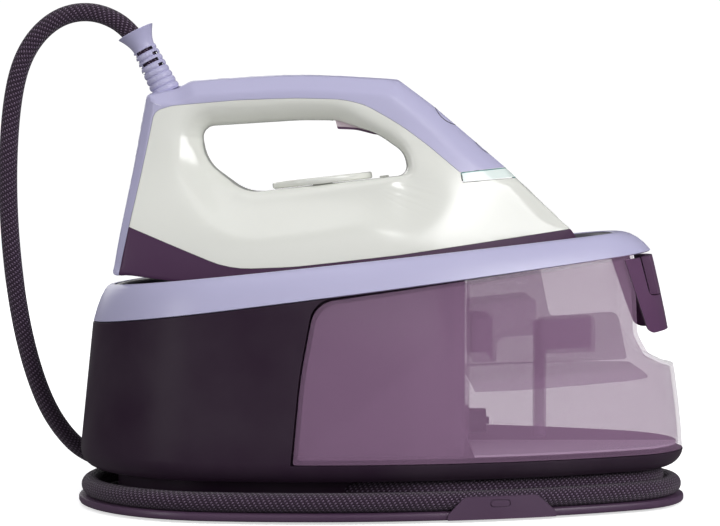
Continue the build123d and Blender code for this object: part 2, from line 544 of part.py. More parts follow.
def wind(inset, height_at, normals):
    """Corners of a route whose runs touch the base outline, moved in by inset."""
    rear_c, nose_c, side_x, side_y = egg_centres(BASE_REAR, BASE_NOSE, REAR_R, NOSE_R)

    def line(angle):
        nx, ny = cos(radians(angle)), sin(radians(angle))
        turn = abs((angle + 180.0) % 360.0 - 180.0)
        if turn < 58.0:
            far = nose_c * nx + NOSE_R
        elif turn > 97.0:
            far = rear_c * nx + REAR_R
        else:
            far = side_x * nx - side_y * abs(ny) + SIDE_R
        return nx, ny, far - inset

    corners = []
    for i, (a, b) in enumerate(zip(normals, normals[1:])):
        (ax, ay, ad), (bx, by, bd) = line(a), line(b)
        cross = ax * by - ay * bx
        corners.append(((ad * by - bd * ay) / cross, (ax * bd - bx * ad) / cross, height_at(i)))
    return corners


def steam_hose():
    lap = [-58, -34, -11, 11, 34, 58]
    first = [106, 92, 80, 68, *reversed(lap), -69, -81, -93, -113, -136, -159, -182, -205, -228, -251]
    outer = wind(WIND_OUTER[0], lambda i: WIND_OUTER[1], first)
    second = [109, 93, 81, 69, *reversed(lap), -69, -81]
    inner = wind(WIND_INNER[0], lambda i: WIND_INNER[1], second)
    inner += HOSE_ENTRY[1:]
    route = [*FREE_HOSE, *outer, *inner]
    path, radii = tube_path(route)
    start = Plane(origin=path @ 0, z_dir=path % 0)
    hose = sweep(start * Circle(HOSE_D / 2), path=path)
    section_volume = Circle(HOSE_D / 2).area * path.length
    print("hose length", round(path.length, 1))
    print("volume against section", round(hose.volume / section_volume, 4))
    print("hose radii", [round(r, 1) for r in radii])
    print("hose turn points", [tuple(round(c, 1) for c in p) for p in outer + inner])
    keep("steam_hose", hose)


def build():
    base_plate()
    channel_core()
    rear_housing()
    top_ring()
    rest_deck()
    boiler()
    pump()
    pipes()
    ports()
    tank()
    tank_handle()
    soleplate()
    iron_shells()
    controls()
    strain_relief()
    steam_hose()
    os.makedirs(STEP_DIR, exist_ok=True)
    for name, shape in made.items():
        export_step(shape, os.path.join(STEP_DIR, name + ".step"))
    print(len(made), "nodes")


build()
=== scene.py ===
"""Looks of a steam generator iron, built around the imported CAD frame.

Outlines and profiles are in millimetres, in the CAD's frame, and meshes are made in metres.
The iron's own outlines are in its own frame: u runs along the sole and w up from it.
"""

import json
import math

import bpy
import bmesh
import numpy as np
from mathutils import Matrix, Vector


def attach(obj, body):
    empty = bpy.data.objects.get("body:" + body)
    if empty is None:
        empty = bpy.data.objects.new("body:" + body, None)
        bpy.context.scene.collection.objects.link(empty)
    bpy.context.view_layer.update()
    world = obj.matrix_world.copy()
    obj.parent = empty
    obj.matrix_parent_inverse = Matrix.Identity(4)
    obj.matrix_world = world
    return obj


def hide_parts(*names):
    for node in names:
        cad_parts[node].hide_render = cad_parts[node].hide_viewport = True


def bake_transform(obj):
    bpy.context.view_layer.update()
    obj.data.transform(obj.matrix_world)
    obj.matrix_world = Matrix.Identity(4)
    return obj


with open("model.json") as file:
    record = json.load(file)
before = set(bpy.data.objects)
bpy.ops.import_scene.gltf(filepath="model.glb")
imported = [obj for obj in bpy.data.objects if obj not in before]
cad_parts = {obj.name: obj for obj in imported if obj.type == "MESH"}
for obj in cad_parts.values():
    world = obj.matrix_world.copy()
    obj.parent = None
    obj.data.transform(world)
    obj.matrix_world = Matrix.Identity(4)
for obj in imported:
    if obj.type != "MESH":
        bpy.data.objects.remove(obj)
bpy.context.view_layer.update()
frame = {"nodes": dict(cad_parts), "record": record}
MM = 0.001

# -------------------- driving dimensions
BASE_REAR, BASE_NOSE, REAR_R, NOSE_R, SIDE_R = -181.5, 181.5, 97.0, 58.0, 400.0
HOUSING_BOTTOM, LEAN_HEIGHT = 22.5, 142.0
LEAN_REAR, LEAN_NOSE, LEAN_REAR_R, LEAN_NOSE_R = 14.5, 23.5, 9.0, 8.0
NOSE_BOW = 1.6  # the nose stands upright low down, and leans back more and more above
WALL = 2.6  # of the housing
RING_LOW = (108.7, 0.1266, -173.0)  # height, slope, and the x where that height is
RING_HIGH = (131.0, 0.1036, -163.0)
SHOULDER_SIDE, SHOULDER_NOSE = 8.5, 9.0  # how far the ring leans in, and how much more at its nose
CORE_REAR, CORE_X, CORE_HALF, CORE_ROUND = -150.0, 48.0, 52.0, 8.0  # housing between the tank's arms
TANK_WALL, TANK_BOTTOM = 2.4, 33.6
SUCTION_X, SUCTION_Y = 94.6, -6.0  # the tank's intake tube

IRON_AT = (-110.0, 0.0, 127.5)
IRON_TILT = math.radians(6.35)
IRON_WALL = 2.2
SEAM = 0.1  # half of the gap between two shells of the iron
HOSE_D, HOSE_LONG = 11.0, 1876.5


# -------------------- materials
def srgb(red, green, blue):
    """Linear colour of an 8-bit screen colour."""
    def linear(value):
        value /= 255.0
        return value / 12.92 if value <= 0.04045 else ((value + 0.055) / 1.055) ** 2.4
    return (linear(red), linear(green), linear(blue), 1.0)


def mixed(color, other, share):
    """Colour between two colours."""
    return tuple(a + (b - a) * share for a, b in zip(color, other))


def give(node, **values):
    """Sets a node's sockets; an underscore in a name stands for a space."""
    for name, value in values.items():
        node.inputs[name.replace("_", " ")].default_value = value
    return node


def wire(source, output, target, socket):
    """Joins one node's output to another's input."""
    source.id_data.links.new(source.outputs[output], target.inputs[socket])


def plastic(name, color, rough, mottle=0.06, grain=0.05, grain_scale=1500.0, coat=0.0,
            specular=0.5, alpha=1.0, metallic=0.0, sheen=0.0, streak=None):
    """Moulded material: cloudy colour, uneven gloss and a fine surface grain."""
    mat = bpy.data.materials.new(name)
    mat.use_nodes = True
    nodes = mat.node_tree.nodes
    shader = give(nodes["Principled BSDF"], Metallic=metallic, Specular_IOR_Level=specular,
                  Coat_Weight=coat, Coat_Roughness=0.08, Sheen_Weight=sheen, Alpha=alpha)
    place = nodes.new("ShaderNodeTexCoord")
    cloud = give(nodes.new("ShaderNodeTexNoise"), Scale=14.0, Detail=4.0)
    wire(place, "Object", cloud, "Vector")
    ramp = nodes.new("ShaderNodeValToRGB")
    dark, light = ramp.color_ramp.elements
    dark.position, light.position = 0.3, 0.7
    dark.color = mixed(color, (0.0, 0.0, 0.0, 1.0), mottle)
    light.color = mixed(color, (1.0, 1.0, 1.0, 1.0), mottle * 0.35)
    wire(cloud, "Fac", ramp, "Fac")
    wire(ramp, "Color", shader, "Base Color")
    gloss = give(nodes.new("ShaderNodeMapRange"), To_Min=max(0.02, rough - 0.05), To_Max=rough + 0.05)
    wire(cloud, "Fac", gloss, "Value")
    wire(gloss, "Result", shader, "Roughness")
    stretch = give(nodes.new("ShaderNodeMapping"), Scale=streak or (1.0, 1.0, 1.0))
    fine = give(nodes.new("ShaderNodeTexNoise"), Scale=grain_scale, Detail=2.0)
    bump = give(nodes.new("ShaderNodeBump"), Strength=grain, Distance=0.0002)
    wire(place, "Object", stretch, "Vector")
    wire(stretch, "Vector", fine, "Vector")
    wire(fine, "Fac", bump, "Height")
    wire(bump, "Normal", shader, "Normal")
    return mat


BRAID_AROUND, BRAID_PITCH = 12.0, 0.0030  # waves of the weave round the hose, and metres per wave


def braid(name):
    """Woven hose cover: dark plum yarn crossed by a lattice of light flecks."""
    mat = plastic(name, srgb(58, 36, 60), 0.62, grain=0.0, specular=0.25, sheen=0.15)
    nodes, links = mat.node_tree.nodes, mat.node_tree.links
    shader = nodes["Principled BSDF"]
    uv, split = nodes.new("ShaderNodeUVMap"), nodes.new("ShaderNodeSeparateXYZ")
    wire(uv, "UV", split, "Vector")

    def math_node(kind, *values):
        node = nodes.new("ShaderNodeMath")
        node.operation = kind
        for socket, value in zip(node.inputs, values):
            if isinstance(value, float):
                socket.default_value = value
            else:
                links.new(value, socket)
        return node.outputs[0]

    around = math_node("MULTIPLY", split.outputs["X"], BRAID_AROUND)
    along = math_node("MULTIPLY", split.outputs["Y"], 1.0 / BRAID_PITCH)
    skewed = math_node("ADD", along, math_node("MULTIPLY", around, 0.5))
    first = math_node("SINE", math_node("MULTIPLY", around, 2 * math.pi))
    second = math_node("SINE", math_node("MULTIPLY", skewed, 2 * math.pi))
    weave = math_node("MULTIPLY", first, second)
    fleck = nodes.new("ShaderNodeValToRGB")
    dark, light = fleck.color_ramp.elements
    dark.position, light.position = 0.30, 0.62
    dark.color, light.color = srgb(48, 30, 50), srgb(118, 100, 122)
    links.new(weave, fleck.inputs["Fac"])
    wire(fleck, "Color", shader, "Base Color")
    bump = give(nodes.new("ShaderNodeBump"), Strength=0.9, Distance=0.0005)
    links.new(math_node("ABSOLUTE", weave), bump.inputs["Height"])
    wire(bump, "Normal", shader, "Normal")
    return mat


PLUM = plastic("plum_plastic", srgb(44, 25, 45), 0.4, specular=0.12, grain=0.12)
PLUM_PLATE = plastic("plum_plate", srgb(82, 58, 84), 0.36, specular=0.35, grain=0.1)
PLUM_HANDLE = plastic("plum_handle", srgb(96, 60, 96), 0.3, grain=0.1)
LAVENDER = plastic("lavender_plastic", srgb(192, 189, 222), 0.34, mottle=0.03, grain=0.08)
WHITE = plastic("white_plastic", srgb(236, 237, 230), 0.2, mottle=0.02, grain=0.03, coat=0.3)
SKIRT = plastic("skirt_plastic", srgb(74, 42, 76), 0.42, mottle=0.04, grain=0.02, specular=0.3)
TANK = plastic("tank_plastic", srgb(164, 128, 162), 0.1, mottle=0.03, grain=0.01, alpha=0.31)
TANK_INNER = plastic("tank_inner", srgb(176, 146, 178), 0.25, mottle=0.05, grain=0.03, alpha=0.36)
# The tank's floor is one mauve given twice: tank_shade is it darkened as painted shade for the far half,
# tank_floor is it lightened as painted light for the near half.
TANK_SHADE = plastic("tank_shade", srgb(132, 104, 132), 0.3, mottle=0.05, grain=0.03)
TANK_FLOOR_PAINTED_LIGHT = plastic("tank_floor", srgb(236, 216, 236), 0.3, mottle=0.05, grain=0.03)
TEAL = plastic("window_edge", srgb(96, 150, 150), 0.2, mottle=0.04, grain=0.02)
WINDOW = plastic("window_plastic", srgb(238, 250, 246), 0.1, mottle=0.02, grain=0.02)
TRIGGER = plastic("trigger_plastic", srgb(236, 216, 226), 0.15, mottle=0.04, grain=0.03, alpha=0.94)
GREY = plastic("grey_plastic", srgb(96, 94, 104), 0.45, grain=0.15)
DECK = plastic("deck_plastic", srgb(74, 72, 82), 0.42, grain=0.2)
BLACK = plastic("black_plastic", srgb(30, 28, 34), 0.4, grain=0.1)
RUBBER = plastic("rubber", srgb(38, 36, 40), 0.75, grain=0.3, specular=0.2)
SILICONE = plastic("silicone", srgb(70, 66, 76), 0.6, grain=0.2, specular=0.3)
SOLE = plastic("sole_steel", srgb(206, 206, 210), 0.22, metallic=1.0, grain=0.2, streak=(1.0, 12.0, 1.0))
CAST = plastic("cast_aluminium", srgb(176, 176, 178), 0.5, metallic=1.0, grain=0.6, grain_scale=500.0)
STEEL = plastic("steel", srgb(190, 190, 192), 0.28, metallic=1.0, grain=0.15, streak=(1.0, 1.0, 10.0))
BRASS = plastic("brass", srgb(190, 160, 96), 0.32, metallic=1.0, grain=0.15)
BOARD = plastic("board_green", srgb(32, 84, 56), 0.4, grain=0.2)
HOSE = braid("hose_fabric")
BY_SLOT = {mat.name.split(".")[0]: mat for mat in (
    PLUM, PLUM_PLATE, PLUM_HANDLE, LAVENDER, WHITE, SKIRT, TANK, WINDOW, TRIGGER, GREY, BLACK,
    RUBBER, SILICONE, SOLE, CAST, STEEL, BRASS, BOARD, HOSE)}


# -------------------- mesh helpers
def placed(name, data):
    """New object in the scene for a mesh, curve, lamp or camera."""
    obj = bpy.data.objects.new(name, data)
    bpy.context.scene.collection.objects.link(obj)
    return obj


def make(name, points, faces, material=None):
    """Object from points in millimetres."""
    mesh = bpy.data.meshes.new(name)
    mesh.from_pydata((np.asarray(points, float) * MM).tolist(), [], faces)
    mesh.update()
    if material:
        mesh.materials.append(material)
    return placed(name, mesh)


def tidy_mesh(obj, merge=0.00001):
    """Joins points that coincide, drops empty faces and turns the normals outward."""
    work = bmesh.new()
    work.from_mesh(obj.data)
    bmesh.ops.remove_doubles(work, verts=work.verts, dist=merge)
    bmesh.ops.dissolve_degenerate(work, edges=work.edges, dist=merge / 2)
    bmesh.ops.recalc_face_normals(work, faces=work.faces)
    work.to_mesh(obj.data)
    work.free()
    return obj


def final_mesh(obj):
    """New mesh of an object as it looks with its modifiers, or of a curve."""
    return bpy.data.meshes.new_from_object(obj.evaluated_get(bpy.context.evaluated_depsgraph_get()))


def cut(obj, tool, how="DIFFERENCE"):
    """Takes the tool's shape away from obj, keeps what both have, or adds it, and drops the tool."""
    step = obj.modifiers.new("cut", "BOOLEAN")
    step.operation, step.solver, step.object = how, "EXACT", tool
    result = final_mesh(obj)
    obj.modifiers.clear()
    old, name = obj.data, obj.data.name
    obj.data = result
    bpy.data.meshes.remove(old)
    result.name = name
    drop(tool)
    return obj


def copy_of(obj, name):
    mesh = obj.data.copy()
    mesh.name = name
    return placed(name, mesh)


def drop(obj):
    mesh = obj.data
    bpy.data.objects.remove(obj)
    bpy.data.meshes.remove(mesh)


def join(name, *pieces):
    """One object of several meshes."""
    work = bmesh.new()
    for piece in pieces:
        work.from_mesh(piece.data)
    mesh = bpy.data.meshes.new(name)
    work.to_mesh(mesh)
    work.free()
    for piece in pieces:
        drop(piece)
    return placed(name, mesh)


def finish_piece(obj, body, material, nodes=(), sharp=32.0):
    """Smooth shading with crisp edges, the material, and the piece's place in the frame."""
    mesh = obj.data
    mesh.materials.clear()
    mesh.materials.append(material)
    mesh.polygons.foreach_set("use_smooth", [True] * len(mesh.polygons))
    mesh.polygons.foreach_set("material_index", [0] * len(mesh.polygons))
    mesh.set_sharp_from_angle(angle=math.radians(sharp))
    mesh.update()
    if body:
        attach(obj, body)
    if nodes:
        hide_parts(*nodes)


def rounded(corners, step=6.0):
    """Closed outline with round corners; each corner is (a, b) or (a, b, radius)."""
    spots = [np.array(c[:2], float) for c in corners]
    radii = [c[2] if len(c) > 2 else 0.0 for c in corners]
    line = []
    for i, (here, radius) in enumerate(zip(spots, radii)):
        back, ahead = spots[i - 1] - here, spots[(i + 1) % len(spots)] - here
        back_long, ahead_long = np.linalg.norm(back), np.linalg.norm(ahead)
        back, ahead = back / back_long, ahead / ahead_long
        turn = math.pi - math.acos(np.clip(back @ ahead, -1.0, 1.0))
        if radius <= 0.0 or turn < 1e-3:
            line.append(here)
            continue
        reach = min(radius * math.tan(turn / 2), 0.47 * back_long, 0.47 * ahead_long)
        radius = reach / math.tan(turn / 2)
        inward = (back + ahead) / np.linalg.norm(back + ahead)
        centre = here + inward * math.hypot(radius, reach)
        start, end = here + back * reach - centre, here + ahead * reach - centre
        count = max(2, int(math.degrees(turn) / step) + 1)
        for k in range(count + 1):
            a = k / count
            spot = (start * math.sin((1 - a) * turn) + end * math.sin(a * turn)) / math.sin(turn)
            line.append(centre + spot)
    return np.array(line)


def prism(name, line, half=150.0, middle=0.0):
    """Closed solid of a side-view outline, run through the width."""
    line = np.asarray(line, float)
    n = len(line)
    near = np.column_stack([line[:, 0], np.full(n, middle - half), line[:, 1]])
    far = near + np.array([0.0, 2 * half, 0.0])
    faces = [tuple(range(n)), tuple(range(2 * n - 1, n - 1, -1))]
    faces += [(i, n + i, n + (i + 1) % n, (i + 1) % n) for i in range(n)]
    return tidy_mesh(make(name, np.vstack([near, far]), faces))


def keep_inside(obj, line, **width):
    """Keeps what lies inside a side-view outline."""
    return cut(obj, prism("outline_tool", line, **width), "INTERSECT")


def cut_away(obj, line, **width):
    """Removes what lies inside a side-view outline."""
    return cut(obj, prism("outline_tool", line, **width))


def block(name, low, high):
    """Box between two corners."""
    (x0, y0, z0), (x1, y1, z1) = low, high
    spots = [(x, y, z) for x in (x0, x1) for y in (y0, y1) for z in (z0, z1)]
    faces = [(0, 1, 3, 2), (4, 6, 7, 5), (0, 4, 5, 1), (2, 3, 7, 6), (0, 2, 6, 4), (1, 5, 7, 3)]
    return tidy_mesh(make(name, spots, faces))


def loops_mesh(name, loops, closed=False):
    """Mesh through loops with the same number of points; open, it gets a cap at each end."""
    n = len(loops[0])
    points = np.vstack(loops)
    faces = []
    pairs = len(loops) if closed else len(loops) - 1
    for i in range(pairs):
        a, b = i * n, ((i + 1) % len(loops)) * n
        faces += [(a + k, a + (k + 1) % n, b + (k + 1) % n, b + k) for k in range(n)]
    if not closed:
        faces += [tuple(range(n - 1, -1, -1)), tuple(range(len(points) - n, len(points)))]
    return tidy_mesh(make(name, points, faces))


def turned(name, profile, place, count=96, closed=False):
    """Surface of revolution; profile is (radius, height), place a matrix in millimetres."""
    angles = np.linspace(0.0, 2 * math.pi, count, endpoint=False)
    turn, move = np.array(place.to_3x3()).T, np.array(place.translation)
    loops = []
    for radius, height in profile:
        loop = np.column_stack([radius * np.cos(angles), radius * np.sin(angles), np.full(count, height)])
        loops.append(loop @ turn + move)
    return loops_mesh(name, loops, closed)


def standing(spot, direction):
    """Matrix in millimetres that stands something up along a direction at a place."""
    return Matrix.Translation(spot) @ Vector(direction).to_track_quat("Z", "Y").to_matrix().to_4x4()


# -------------------- the base's outer form
ARC_COUNTS = (44, 46, 50, 46)  # points on the nose, far side, rear and near side arcs
PART = np.repeat(np.arange(4), ARC_COUNTS)
SHARE = np.concatenate([np.arange(n) / n for n in ARC_COUNTS])


def side_centre(rear_c, nose_c, rear_r, nose_r):
    """Centre of a side's arc, which touches the arcs of rear and nose: x, and y past the middle."""
    to_rear, to_nose = SIDE_R - rear_r, SIDE_R - nose_r
    x = (to_rear ** 2 - to_nose ** 2 + nose_c ** 2 - rear_c ** 2) / (2 * (nose_c - rear_c))
    return x, np.sqrt(to_rear ** 2 - (x - rear_c) ** 2)


def hull_loop(height, inset):
    """The base's outline; height and inset are numbers, arrays or functions of x."""
    count = len(PART)
    x = np.zeros(count)
    for _ in range(5):  # the height may depend on x, and x on the height
        z = np.broadcast_to(height(x) if callable(height) else height, count).astype(float)
        k = np.clip((z - HOUSING_BOTTOM) / LEAN_HEIGHT, 0.0, None)
        rear_r, nose_r = REAR_R - LEAN_REAR_R * k, NOSE_R - LEAN_NOSE_R * k
        rear_c = BASE_REAR + LEAN_REAR * k + rear_r
        nose_c = BASE_NOSE - LEAN_NOSE * k ** NOSE_BOW - nose_r
        side_x, side_y = side_centre(rear_c, nose_c, rear_r, nose_r)
        a_nose, a_rear = np.arctan2(side_y, nose_c - side_x), np.arctan2(side_y, rear_c - side_x)
        full = 2 * math.pi
        angle = np.choose(PART, [a_nose * (2 * SHARE - 1), a_nose + SHARE * (a_rear - a_nose),
                                 a_rear + SHARE * (full - 2 * a_rear),
                                 full - a_rear + SHARE * (a_rear - a_nose)])
        moved = inset(angle) if callable(inset) else inset
        radius = np.choose(PART, [nose_r, SIDE_R, rear_r, SIDE_R]) - moved
        x = np.choose(PART, [nose_c, side_x, rear_c, side_x]) + radius * np.cos(angle)
        y = np.choose(PART, [0 * z, -side_y, 0 * z, side_y]) + radius * np.sin(angle)
    return np.column_stack([x, y, z])


def tilted(line, lift=0.0):
    """Height of a sloping plane as a function of x."""
    height, slope, start = line
    return lambda x: height + (x - start) * slope + lift


def hull_solid(name, profile, closed=False):
    """Solid through (height, inset) loops of the base's form; closed, its last loop joins its first."""
    return loops_mesh(name, [hull_loop(height, inset) for height, inset in profile], closed)


def hull_band(name, bottom, top, outside, inside):
    """Band that follows the base's form, between two heights and two insets."""
    return hull_solid(name, [(bottom, outside), (top, outside), (top, inside), (bottom, inside)], True)


def shoulder(angle):
    """How far the ring's top edge stands in from its foot."""
    return SHOULDER_SIDE + SHOULDER_NOSE * np.clip(np.cos(angle), 0.0, 1.0) ** 3


FOOT_ROUND = 12.5  # height of the rounded lower edge
FOOT_INSET = 13.0
FOOT = [(HOUSING_BOTTOM + FOOT_ROUND * (1 - math.cos(a)), FOOT_INSET * (1 - math.sin(a)))
        for a in np.linspace(0.0, math.pi / 2, 9)]
RISE = [(z, 0.0) for z in (50.0, 65.0, 80.0, 95.0)]


ROOM_SIDE = [(-52.0, 33.0), (-47.3, 82.0, 200.0), (-39.2, 125.6, 15.5), (230.0, 159.6), (230.0, 33.0)]


def tank_room(grow=0.0):
    """The room that the tank fills: its side outline, less the housing's middle."""
    return cut(prism("tank_room", grown(rounded(ROOM_SIDE), grow)), core_block(-grow, CORE_ROUND))


def core_block(grow, radius):
    """The housing's middle, as a tall block with round upright edges."""
    front, half = CORE_X + grow, CORE_HALF + grow
    line = rounded([(CORE_REAR, -half, radius), (front, -half, radius), (front, half, radius),
                    (CORE_REAR, half, radius)])
    return loops_mesh("core", [np.column_stack([line, np.full(len(line), z)]) for z in (-20.0, 220.0)])


def grown(line, amount):
    """Outline moved outward by amount, point by point."""
    line = np.asarray(line, float)
    if not amount:
        return line
    ahead = np.roll(line, -1, 0) - line
    keep = np.linalg.norm(ahead, axis=1) > 1e-6
    line, ahead = line[keep], ahead[keep]
    ahead /= np.linalg.norm(ahead, axis=1)[:, None]
    back = np.roll(ahead, 1, 0)
    area = np.sum(line[:, 0] * np.roll(line[:, 1], -1) - np.roll(line[:, 0], -1) * line[:, 1])
    side = 1.0 if area > 0 else -1.0
    n1 = np.column_stack([ahead[:, 1], -ahead[:, 0]]) * side
    n0 = np.column_stack([back[:, 1], -back[:, 0]]) * side
    both = n0 + n1
    both /= np.maximum(1e-6, np.sum(both * n1, axis=1))[:, None]
    return line + both * amount


# -------------------- base pieces
def housing():
    """Thin-walled housing with the tank's room cut out of its front."""
    top = tilted(RING_LOW, -0.2)
    solid = hull_solid("rear_housing_shell", [*FOOT, *RISE, (top, 0.0)])
    inner_foot = [(z + WALL, inset + WALL) for z, inset in FOOT]
    hollow = hull_solid("hollow", [*inner_foot, (60.0, WALL), (90.0, WALL), (tilted(RING_LOW, 30.0), WALL)])
    cut(hollow, tank_room(WALL))
    cut(solid, hollow)
    cut(solid, tank_room())
    bevel(solid, 0.5, 40.0)
    finish_piece(solid, "root", PLUM, ["rear_housing"])


def bevel(obj, width, angle=40.0, segments=2):
    """Softens the edges that turn by more than angle; it stays a modifier."""
    step = obj.modifiers.new("edges", "BEVEL")
    step.width, step.segments, step.limit_method = width * MM, segments, "ANGLE"
    step.angle_limit = math.radians(angle)


def ring():
    """Lavender band: leans in, with a broad rounded shoulder at the nose."""
    def inward(share, base):
        return lambda angle: base + share * shoulder(angle)

    profile = [(tilted(RING_LOW, 0.9), 4.4), (tilted(RING_LOW, 0.15), 3.6), (tilted(RING_LOW, 0.0), 1.4),
               (tilted(RING_LOW, 0.6), 0.3)]
    for share in (0.12, 0.3, 0.5, 0.68, 0.82, 0.92, 1.0):
        def level(x, share=share):
            low, high = tilted(RING_LOW)(x), tilted(RING_HIGH)(x)
            return low + (high - low) * math.sin(share * math.pi / 2) ** 1.15
        profile.append((level, inward(share ** 1.5, 0.3)))
    profile += [(tilted(RING_HIGH, -0.3), inward(1.0, 1.8)), (tilted(RING_HIGH, -1.6), inward(1.0, 2.6)),
                (tilted(RING_LOW, 6.0), inward(0.6, 5.0))]
    band = hull_solid("top_ring_band", profile, closed=True)
    finish_piece(band, "root", LAVENDER, ["top_ring"], sharp=50.0)


def deck():
    """Dark tray inside the ring that the iron stands in."""
    def rest(lift):
        return lambda x: IRON_AT[2] + (x - IRON_AT[0]) * math.tan(IRON_TILT) + lift

    def edge(extra):
        return lambda angle: extra + shoulder(angle)

    profile = [(rest(-4.6), 42.0), (rest(-4.6), 24.0), (tilted(RING_HIGH, -6.0), edge(7.5)),
               (tilted(RING_HIGH, -2.4), edge(3.6)), (tilted(RING_HIGH, -0.7), edge(3.1)),
               (tilted(RING_HIGH, -0.5), edge(4.0)), (tilted(RING_HIGH, -0.9), edge(7.0)),
               (tilted(RING_HIGH, -3.0), edge(10.5)), (rest(-2.0), 24.5), (rest(-2.0), 42.0)]
    tray = hull_solid("rest_deck_tray", profile)
    finish_piece(tray, "root", DECK, ["iron_rest_deck"], sharp=45.0)


CLIP_SIDE = [(36.5, 4.6, 7.0), (46.0, 14.6, 6.0), (88.0, 14.6, 6.0), (99.0, 4.6, 7.0), (99.0, 1.6),
             (36.5, 1.6)]
CLIP_OUT = 1.2  # how far the clip stands out from the plate
CLIP_MARK = [(60.5, 8.2, 2.2), (72.5, 8.2, 2.2), (72.5, 12.8, 2.2), (60.5, 12.8, 2.2)]
MARK_LINE, MARK_DEEP = 0.8, 0.5


def plate():
    """Base plate with soft edges and the clip tab that holds the hose in its channel."""
    edge = [(1.5, 1.4), (1.9, 0.5), (2.8, 0.0), (4.9, 0.0), (5.7, 0.4), (6.0, 1.2)]
    slab = hull_solid("base_plate_slab", edge)
    wall = hull_band("clip", 1.6, 18.0, -CLIP_OUT, 1.2)
    keep_inside(wall, rounded(CLIP_SIDE), half=60.0, middle=-70.0)
    cut(slab, wall, "UNION")
    outline = rounded(CLIP_MARK)
    mark = prism("clip_mark", outline, half=60.0, middle=-70.0)
    cut_away(mark, grown(outline, -MARK_LINE), half=61.0, middle=-70.0)
    cut(mark, hull_band("mark_depth", 0.0, 20.0, -6.0, MARK_DEEP - CLIP_OUT), "INTERSECT")
    cut(slab, mark)
    bevel(slab, 0.4, 40.0, 3)
    finish_piece(slab, "root", PLUM_PLATE, ["base_plate"])


# -------------------- water tank
SHELL_GAP = 0.4  # how far the tank's wall stands in from the base's form
TANK_SIDE = [(-50.6, TANK_BOTTOM, 1.5), (-46.2, 82.0, 200.0), (-38.3, 124.0, 15.0), (147.0, 150.0),
             (148.0, 128.0, 3.0), (148.6, 104.0, 14.0), (156.0, 90.5, 18.0), (171.0, 83.8, 3.5),
             (200.0, 83.2), (200.0, TANK_BOTTOM)]
SCREEN_SIDE = [(53.0, 78.0, 1.0), (152.0, 82.4, 2.0), (146.0, 112.0, 6.0), (104.0, 109.0, 4.0),
               (98.0, 139.0, 4.0), (53.0, 134.0, 2.0)]
TRAY_SIDE = [(53.0, 71.2, 1.0), (160.0, 75.8, 1.0), (152.0, 82.0, 2.0), (53.0, 77.4, 1.0)]
CASE_SIDE = [(94.0, 90.2, 2.0), (126.3, 91.6, 2.0), (126.3, 112.0, 2.0), (94.0, 110.0, 2.0)]
CASE_ROOM = [(96.4, 92.6), (123.9, 94.0), (123.9, 120.0), (96.4, 120.0)]
WEB_SIDE = [(52.6, 86.4, 2.0), (67.0, 87.0, 2.0), (67.0, 98.0, 4.0), (71.0, 101.6, 2.0), (90.0, 102.6, 2.0),
            (90.0, 124.0, 2.0), (52.6, 120.0, 2.0)]
WEB_ROOM = [(55.0, 60.0), (64.6, 60.0), (64.6, 112.0), (55.0, 112.0)]
GRIP_SIDE = [(141.6, 146.3), (151.2, 118.0, 200.0), (156.6, 103.2, 5.0), (190.0, 107.0), (190.0, 152.0)]
BUTTON_SIDE = [(150.8, 150.0), (157.6, 124.6, 4.5), (190.0, 127.6), (190.0, 155.0)]
BUTTON_GAP, BUTTON_HALF = 0.45, 19.6


def tank_inside():
    """What shows through the tank: floor, with its pale near half as painted light and its darker far half
    as painted shade, intake tray with its tube, and the filter housing.
    """
    # The near half of the floor gets the pale colour as painted light, the far half the darker colour as
    # painted shade.
    for name, reach, material in (("near", (-99.0, -6.0), TANK_FLOOR_PAINTED_LIGHT), ("far", (-6.0, 99.0), TANK_SHADE)):
        floor = hull_solid("tank_floor_" + name, [(36.2, 4.2), (37.4, 4.2)])
        part = block("floor_part", (CORE_X + 4.0, reach[0], 30.0), (200.0, reach[1], 40.0))
        cut(floor, part, "INTERSECT")
        finish_piece(floor, "tank", material)
    screen = prism("tank_inner_screen", rounded(SCREEN_SIDE), half=0.8, middle=38.0)
    finish_piece(screen, "tank", TANK_INNER)
    tray = hull_solid("intake_tray", [(z, 15.0) for z in (66.0, 78.0, 92.0)])
    keep_inside(tray, rounded(TRAY_SIDE), half=62.0)
    finish_piece(tray, "tank", TANK_INNER, ["tank_baffle"])
    case = prism("filter_case", rounded(CASE_SIDE), half=17.0, middle=SUCTION_Y)
    cut_away(case, CASE_ROOM, half=14.6, middle=SUCTION_Y)
    finish_piece(case, "tank", TANK_INNER, ["filter_box"])
    stem = turned("intake_tube", [(4.1, 40.0), (4.1, 109.0), (2.8, 109.0), (2.8, 41.0)],
                  Matrix.Translation((SUCTION_X, SUCTION_Y, 0.0)), 40)
    finish_piece(stem, "tank", TANK_INNER, ["suction_tube"])
    arch = prism("upper_web", rounded(WEB_SIDE), half=40.0)
    cut_away(arch, WEB_ROOM, half=37.6)
    finish_piece(arch, "tank", TANK_INNER)


def tank_body(name, inset):
    """The tank as a solid, moved in by inset; its corners are rounded after the move."""
    moved = grown([corner[:2] for corner in TANK_SIDE], -inset)
    line = rounded([(x, z, *corner[2:]) for (x, z), corner in zip(moved, TANK_SIDE)])
    heights = (TANK_BOTTOM + inset - 8.0, 47.0, 60.0, 77.0, 90.0, 105.0, 120.0, 140.0, 172.0)
    form = hull_solid(name, [(z, SHELL_GAP + inset) for z in heights])
    keep_inside(form, line)
    return cut(form, core_block(inset + 0.5, CORE_ROUND + inset))


def tank():
    """Translucent shell of the tank with its lid."""
    outer = tank_body("water_tank_shell", 0.0)
    inner = tank_body("water_tank_inner", TANK_WALL)
    cut(outer, inner)
    bevel(outer, 1.2, 40.0, 3)
    finish_piece(outer, "tank", TANK, ["water_tank", "tank_cover", "fill_door"], sharp=40.0)


